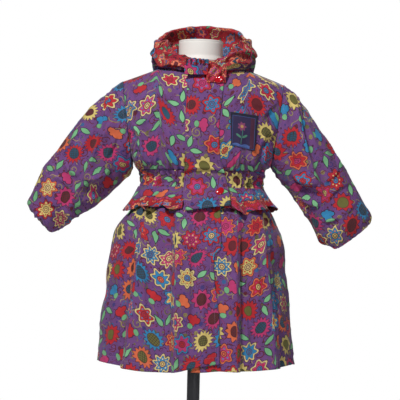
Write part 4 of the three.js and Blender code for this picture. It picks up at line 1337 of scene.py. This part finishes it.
def lining_relief(u, v, place):
    """Slanting folds inside the hood, a stitched rim, and a deep fold under the crest behind."""
    rim = groove((v - 0.86) * 170, 1.0, 2.4) + puckers(u * 600, (v - 0.86) * 170, 13, 22, 1.0)
    behind = ease((0.17 - abs(u - 0.5)) / 0.06)
    slant = TURN * (7 * u + 1.6 * v) + 1.5 * wave(2 * u)
    folds = 4.2 * (1 - 1.7 * abs(np.sin(slant)) ** 0.8) * np.sin(math.pi * np.clip(v * 1.1, 0, 1)) ** 2
    long = 4.6 * (1 - 1.8 * abs(wave(2.1 * v + 0.22 * wave(2 * u) + 0.1)))
    long = long * ease((v - 0.45) / 0.15) * ease((0.97 - v) / 0.08)
    cavity = 9.5 * hill(v - 0.70, 0.035) - 10 * hill(v - 0.59, 0.05)
    total = crumple(u * 620, v * 170, 113, 1.6) + rim + behind * cavity
    total += folds * (1 - 0.6 * behind) + long * (1 - 0.8 * behind)
    return ease(np.minimum(u, 1 - u) * 600 / 12) * total


def make_hood():
    cloth("hood", lambda u, v: hood_point(u, v, "rim bulge bag over seam", HOOD), hood_relief)
    cloth("hood_lining", lambda u, v: hood_point(u, v, "foot dip in crest lip", LINING), lining_relief)


# What lies on the panels


def make_patch():
    (ax, az), (bx, bz), (cx, cz), (dx, dz) = PATCH

    def point(u, v):
        x = mix(mix(ax, bx, u), mix(dx, cx, u), v)
        z = mix(mix(az, bz, u), mix(dz, cz, u), v)
        depth = bodice_depth(x, z, "front") + waist_folds(x, z, "front") + PATCH_CLEAR + THIN
        return point_of(x, -depth, z)

    def relief(u, v, place):
        edge = np.minimum(np.minimum(u, 1 - u) * 56, np.minimum(v, 1 - v) * 72)
        return 0.5 * crumple(place[..., 0], place[..., 2], 7) + 0.5 * hill(edge, 2.5)

    cloth("breast_patch", point, relief)


def tab_forward(x, z):
    return read(TAB, z, "forward") - read(TAB, z, "round") * (x - MIDDLE) ** 2


def make_tab():
    def point(u, v):
        z = mix(TAB_TOP, TAB_END, v)
        x = mix(read(TAB, z, "right"), read(TAB, z, "left"), u)
        return point_of(x, -tab_forward(x, z), z)

    def relief(u, v, place):
        x, z = place[..., 0], place[..., 2]
        edge = np.minimum(np.minimum(u, 1 - u) * 41, np.minimum(v, 1 - v) * 44)
        folds = 2.6 * wave((x - 0.8 * (z - 982)) / 19) * ease(edge / 6)
        return folds + 0.8 * crumple(x, z, 9) + groove(edge - 3, 0.5, 1.2) * ease(edge)

    cloth("neck_tab", point, relief)


def make_neck_strips():
    """The small stand of the neck beside the tab, and the lining's gathered end in curls above it."""
    rows = (("neck_stand", 1.2, 2.2, 1003, 976, -91.5), ("neck_curls", 2.6, 5.2, 1011, 997, -94.5))
    for name, deep, waves, top, low, forward in rows:

        def point(u, v):
            turn = TURN * waves * u + 0.8 * wave(1.3 * u)
            x = mix(-34, 15, u) + deep * np.sin(turn) * (1 - 0.5 * v)
            y = forward + deep * np.cos(turn) * (1 - 0.5 * v) + 2.5 * (v - 1)
            return point_of(x, y, mix(top - 4 * u, low, v) + 0.7 * deep * np.sin(turn + 1) * (1 - v))

        cloth(name, point, lambda u, v, place: 0.5 * noise(u * 30, v * 6, 12))


# The buttons, the form and the stand


def ring_mesh(name, grid):
    """A tube of rings, closed at each end by a fan."""
    rows, columns = grid.shape[:2]
    number = np.arange(rows * columns).reshape(rows, columns)
    around = np.roll(number, -1, 1)
    quads = np.stack([number[:-1], around[:-1], around[1:], number[1:]], -1).reshape(-1, 4)
    places, faces = list(grid.reshape(-1, 3) * MM), quads.tolist()
    for end, a, b in ((0, around[0], number[0]), (-1, number[-1], around[-1])):
        faces += np.stack([a, b, np.full(columns, len(places))], -1).tolist()
        places.append(grid[end].mean(0) * MM)
    mesh = bpy.data.meshes.new(name)
    mesh.from_pydata(places, [], faces)
    mesh.validate()
    return mesh


def turned(profile, sides=96, soft=1.2):
    """Rings about the pole from radius and height pairs, with each edge rounded off."""
    profile = np.array(profile, float)
    points = [profile[0]]
    for before, here, after in zip(profile, profile[1:], profile[2:]):
        before, after = before - here, after - here
        cut = min(soft, 0.3 * np.linalg.norm(before), 0.3 * np.linalg.norm(after))
        start = here + before / np.linalg.norm(before) * cut
        stop = here + after / np.linalg.norm(after) * cut
        points += [start, 0.25 * start + 0.5 * here + 0.25 * stop, stop]
    points.append(profile[-1])
    angle = np.arange(sides) / sides * TURN
    rings = ((max(r, 0.01), z) for r, z in points)
    return np.stack([point_of(r * np.cos(angle), r * np.sin(angle), z) for r, z in rings])


FORM = table(
    "height width front back middle",
    (560, 86, 62, 66, 3),
    (566, 96, 70, 74, 3),
    (590, 108, 78, 84, 4),
    (640, 112, 78, 86, 5),
    (700, 106, 72, 78, 6),
    (755, 98, 69, 68, 6.5),
    (820, 105, 76, 74, 6.5),
    (880, 113, 80, 80, 6.5),
    (925, 119, 72, 76, 6.5),
    (984, 119, 38, 39, 6.5),
    (987, 110, 40, 41, 6.5),
    (992, 98, 42, 43, 6),
    (999, 80, 41, 42, 4),
    (1006, 62, 43, 44, 1.5),
    (1013, 51.5, 51.5, 51.5, 0.5),
    (1023, 48.5, 48.5, 48.5, 0),
    (1052.7, 48.5, 48.5, 48.5, 0),
)
FORM_SLACK = 1.2
NECK_ROUND_BELOW = 1010
TURNED_PIECES = (
    (
        "neck_top",
        "form_neck_cap",
        "form",
        128,
        0.4,
        ((0, 1052.8), (48.5, 1052.8), (48.5, 1057), (0, 1057)),
    ),
    ("plate", "form_flange", "stand", 96, 1.2, ((0, 547.7), (30, 547.7), (34, 559.7), (0, 559.7))),
    ("pole", "stand_pole", "stand", 64, 1.2, ((0, 42.3), (14, 42.3), (14, 547.4), (0, 547.4))),
    (
        "base",
        "stand_base",
        "stand",
        128,
        1.2,
        ((0, 0), (150, 0), (150, 4), (146, 7), (60, 14), (24, 16), (21, 42), (0, 42)),
    ),
)


def make_form():
    cover = hard_material("form_cover", (244, 240, 234), (226, 221, 214), 0.6, 420, 0.25)
    paint = hard_material("stand_paint", (74, 74, 78), (52, 52, 56), 0.36, 300, 0.15, Metallic=0.3)
    angle = np.arange(120) / 120 * TURN
    side, face = np.sin(angle), np.cos(angle)
    rings = []
    for height in np.concatenate([np.linspace(560, 1013, 150), np.linspace(1014, 1052.7, 24)]):
        measures = (np.interp(height, FORM["height"], column) for column in list(FORM.values())[1:])
        width, front, back, middle = measures
        slack = FORM_SLACK * ease((NECK_ROUND_BELOW - height) / 20)
        depth = np.where(face > 0, front, back) - slack
        power = mix(2.0, 2.2, ease((NECK_ROUND_BELOW - height) / 40))
        radius = (abs(side / (width - slack)) ** power + abs(face / depth) ** power) ** (-1 / power)
        rings.append(point_of(middle + radius * side, -radius * face, height))
    add_piece("form_body", ring_mesh("form_body", np.stack(rings)), [cover], "form", "form_torso")
    for name, node, slot, sides, soft, profile in TURNED_PIECES:
        mesh = ring_mesh("form_" + name, turned(profile, sides, soft))
        add_piece("form_" + name, mesh, [cover if slot == "form" else paint], slot, node)


def turn_by(places, angle, a, b):
    """Turns places by an angle, from their axis a towards their axis b."""
    turned_places = places.copy()
    turned_places[..., a] = math.cos(angle) * places[..., a] - math.sin(angle) * places[..., b]
    turned_places[..., b] = math.sin(angle) * places[..., a] + math.cos(angle) * places[..., b]
    return turned_places


def make_button(name, x, z, back, lean, nod, plastic):
    """A domed bean, 20 by 16 mm, with a soft rim."""
    angle = np.arange(72) / 72 * TURN
    notch = 1 - 0.24 * hill(angle - math.pi / 2, 0.42)
    steps = [(0.9, 0.0), (1.0, 0.7), (1.0, 1.3)]
    steps += [(math.cos(t), 1.3 + 2.3 * math.sin(t)) for t in np.linspace(0.12, 1.45, 14)]
    across, along = 10 * np.cos(angle), 8 * np.sin(angle) * notch
    bean = np.stack([point_of(share * across, share * along, high) for share, high in steps])
    bean[..., 2] -= 0.35 * np.exp(-((bean[..., 0] ** 2 + (bean[..., 1] - 5) ** 2) / 8))
    bean = turn_by(turn_by(bean, lean, 0, 1), math.pi / 2 + nod, 1, 2)
    add_piece("coat_" + name, ring_mesh("coat_" + name, bean + (x, back, z)), [plastic], "button", name)


def make_buttons():
    gloss = {"Coat_Weight": 0.7, "Coat_Roughness": 0.05}
    plastic = hard_material("button_plastic", (190, 12, 30), (150, 6, 22), 0.14, 260, 0.1, **gloss)
    forward = lambda z: flap_place(np.array(47.0), np.array(float(z)))[1]
    nod = math.atan2(forward(720) - forward(736), 16)
    make_button("button_neck", 40, 967, -tab_forward(33, 967) - 0.6, 0.2, 0, plastic)
    make_button("button_waist", 47, 728, forward(728) - 0.6, 0.8, nod, plastic)


# Stitching, as small threads joined into one piece for each seam. A row runs on a piece from one share
# across and down to another.

STITCH_PITCH = 3.4
STITCH_LENGTH = 2.3
STITCH_THICK = 0.5
# share of the length, width and rise of each ring of a stitch
STITCH_RINGS = ((0, 0.45, 0.02), (0.25, 1, 0.12), (0.75, 1, 0.12), (1, 0.45, 0.02))
ENDS = ("front_right", "front_left", "back")
SLEEVE_ROWS = ((0.01, 0.99, 0.972, 0.972), (0.01, 0.99, 0.022, 0.022))
THREADS = {
    "print": ("thread", (160, 132, 164), (130, 100, 140)),
    "red_print": ("red_thread", (196, 120, 116), (170, 84, 84)),
    "patch": ("navy_thread", (34, 34, 74), (24, 24, 54)),
}
STITCHES = {
    "flap": [
        ("front_flap", 0.94, 0.94, 0.02, 0.985),
        ("front_flap", 0.06, 0.06, 0.02, 0.985),
        ("front_flap", 0.06, 0.94, 0.984, 0.984),
    ],
    "hem": [("skirt_" + end, 0.004, 0.996, 0.957, 0.957) for end in ENDS],
    "opening": [("skirt_front_right", 0.968, 0.968, 0.14, 0.985)],
    "sleeve_right": [("sleeve_right", *row) for row in SLEEVE_ROWS],
    "sleeve_left": [("sleeve_left", *row) for row in SLEEVE_ROWS],
    "band": [("frill_band_" + end, 0.004, 0.996, 0.14, 0.14) for end in ENDS],
    "hood": [("hood_lining", 0.01, 0.99, 0.86, 0.86)],
    "tab": [
        ("neck_tab", 0.06, 0.06, 0.05, 0.94),
        ("neck_tab", 0.94, 0.94, 0.05, 0.94),
        ("neck_tab", 0.06, 0.94, 0.94, 0.94),
    ],
    "patch": [
        ("breast_patch", 0.04, 0.04, 0.02, 0.98),
        ("breast_patch", 0.96, 0.96, 0.02, 0.98),
        ("breast_patch", 0.04, 0.96, 0.03, 0.03),
        ("breast_patch", 0.04, 0.96, 0.97, 0.97),
    ],
}


def on_grid(grid, u, v):
    """Places and outward directions of a cloth's outer face at shares across and down."""
    rows, columns = grid.shape[:2]
    y, x = np.clip(v, 0, 1) * (rows - 1.001), np.clip(u, 0, 1) * (columns - 1.001)
    i, j = y.astype(int), x.astype(int)
    f, g = (y - i)[:, None], (x - j)[:, None]
    place = mix(mix(grid[i, j], grid[i, j + 1], g), mix(grid[i + 1, j], grid[i + 1, j + 1], g), f)
    out = np.cross(grid[i + 1, j] - grid[i, j], grid[i, j + 1] - grid[i, j])
    return place, out / np.linalg.norm(out, axis=-1, keepdims=True)


def stitch_mesh(name, rows):
    vertices, faces = [], []
    for piece, u_start, u_end, v_start, v_end in rows:
        steps = np.linspace(0, 1, 1200)
        place, out = on_grid(grids[piece], mix(u_start, u_end, steps), mix(v_start, v_end, steps))
        run = run_lengths(place, 0)
        at = lambda reach: np.array([np.interp(reach, run, place[:, k]) for k in range(3)])
        for start in np.arange(STITCH_PITCH / 2, run[-1] - STITCH_PITCH, STITCH_PITCH):
            a, b = at(start), at(start + STITCH_LENGTH)
            up = out[np.searchsorted(run, start)]
            side = np.cross(up, (b - a) / np.linalg.norm(b - a))
            first = len(vertices)
            for share, width, rise in STITCH_RINGS:
                centre = mix(a, b, share) + up * rise
                ways = (side, up, -side, -up)
                vertices += [(centre + way * width * STITCH_THICK / 2) * MM for way in ways]
            for low in range(first, first + 12, 4):
                for m, n in ((0, 1), (1, 2), (2, 3), (3, 0)):
                    faces.append((low + m, low + n, low + 4 + n, low + 4 + m))
            faces += [(first + 3, first + 2, first + 1, first), tuple(range(first + 12, first + 16))]
    mesh = bpy.data.meshes.new(name)
    mesh.from_pydata(vertices, [], faces)
    return mesh


def make_stitches():
    materials = {slot: hard_material(*look, 0.7, 2400, 0.1) for slot, look in THREADS.items()}
    for name, rows in STITCHES.items():
        slot = PIECES[rows[0][0]][0]
        mesh = stitch_mesh("coat_stitches_" + name, rows)
        add_piece("coat_stitches_" + name, mesh, [materials[slot]], slot)


make_bodice()
make_sleeve("sleeve_right", -1, RIGHT_SLEEVE, 131)
make_sleeve("sleeve_left", 1, LEFT_SLEEVE, 149)
make_waist()
make_skirt()
make_frill()
make_flap()
make_hood()
make_patch()
make_tab()
make_neck_strips()
make_buttons()
make_form()
make_stitches()

# Floor, light and camera. The camera is level, with the slight lean of the photograph

AMBIENT = 0.078
CAMERA_DISTANCE = 3.0
CAMERA_LEAN = -0.0224
SEEN_WIDTH = 0.88
SENSOR = 36
FLOOR_RADIUS = 1.35
FLOOR_SIDES = 96
LIGHTS = (
    ("key", (-0.95, -2.2, 3.05), (0, 0, 0.72), 0.42, 89),
    ("fill", (0.9, -3.0, 1.0), (0, 0, 0.66), 0.8, 13),
    ("back", (0.4, 2.2, 2.2), (0, 0, 0.8), 1.2, 40),
)


def make_floor():
    material, _, shader = new_material("floor", 0.7)
    shader.inputs["Base Color"].default_value = (0.86, 0.86, 0.86, 1)
    turns = [TURN * k / FLOOR_SIDES for k in range(FLOOR_SIDES)]
    ring = [(FLOOR_RADIUS * math.cos(turn), FLOOR_RADIUS * math.sin(turn), 0) for turn in turns]
    mesh = bpy.data.meshes.new("floor")
    mesh.from_pydata(ring, [], [range(FLOOR_SIDES)])
    mesh.materials.append(material)
    add_object("floor", mesh)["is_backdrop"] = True


def make_light():
    """A white surround, dimmer as a light than as it is seen, a large soft key and a weak fill."""
    world = bpy.data.worlds.new("studio")
    world.use_nodes = True
    tree = world.node_tree
    background = tree.nodes["Background"]
    background.inputs[0].default_value = (1, 1, 1, 1)
    seen = Wire(tree, tree.nodes.new("ShaderNodeLightPath").outputs["Is Camera Ray"])
    connect(tree, background.inputs[1], seen * (1 - AMBIENT) + AMBIENT)
    bpy.context.scene.world = world
    for name, place, aim, size, power in LIGHTS:
        data = bpy.data.lights.new(name, "AREA")
        data.shape = "DISK"
        data.size = size
        data.energy = power
        light = add_object(name, data)
        light.location = place
        away = np.array(place) - np.array(aim)
        tilt = math.acos(away[2] / np.linalg.norm(away))
        light.rotation_euler = (tilt, 0, math.atan2(away[0], -away[1]))


def make_camera():
    data = bpy.data.cameras.new("camera")
    data.sensor_width = SENSOR
    data.lens = SENSOR * CAMERA_DISTANCE / SEEN_WIDTH
    camera = add_object("camera", data)
    camera.location = (0.0055, -CAMERA_DISTANCE, 0.7084)
    camera.rotation_euler = (math.pi / 2, CAMERA_LEAN, 0)
    bpy.context.scene.camera = camera


make_floor()
make_light()
make_camera()
bpy.context.scene.view_settings.view_transform = "Standard"

boxes = {"cad": cad_box, "visual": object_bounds()}
plain_boxes = {name: [[float(v) for v in corner] for corner in box] for name, box in boxes.items()}
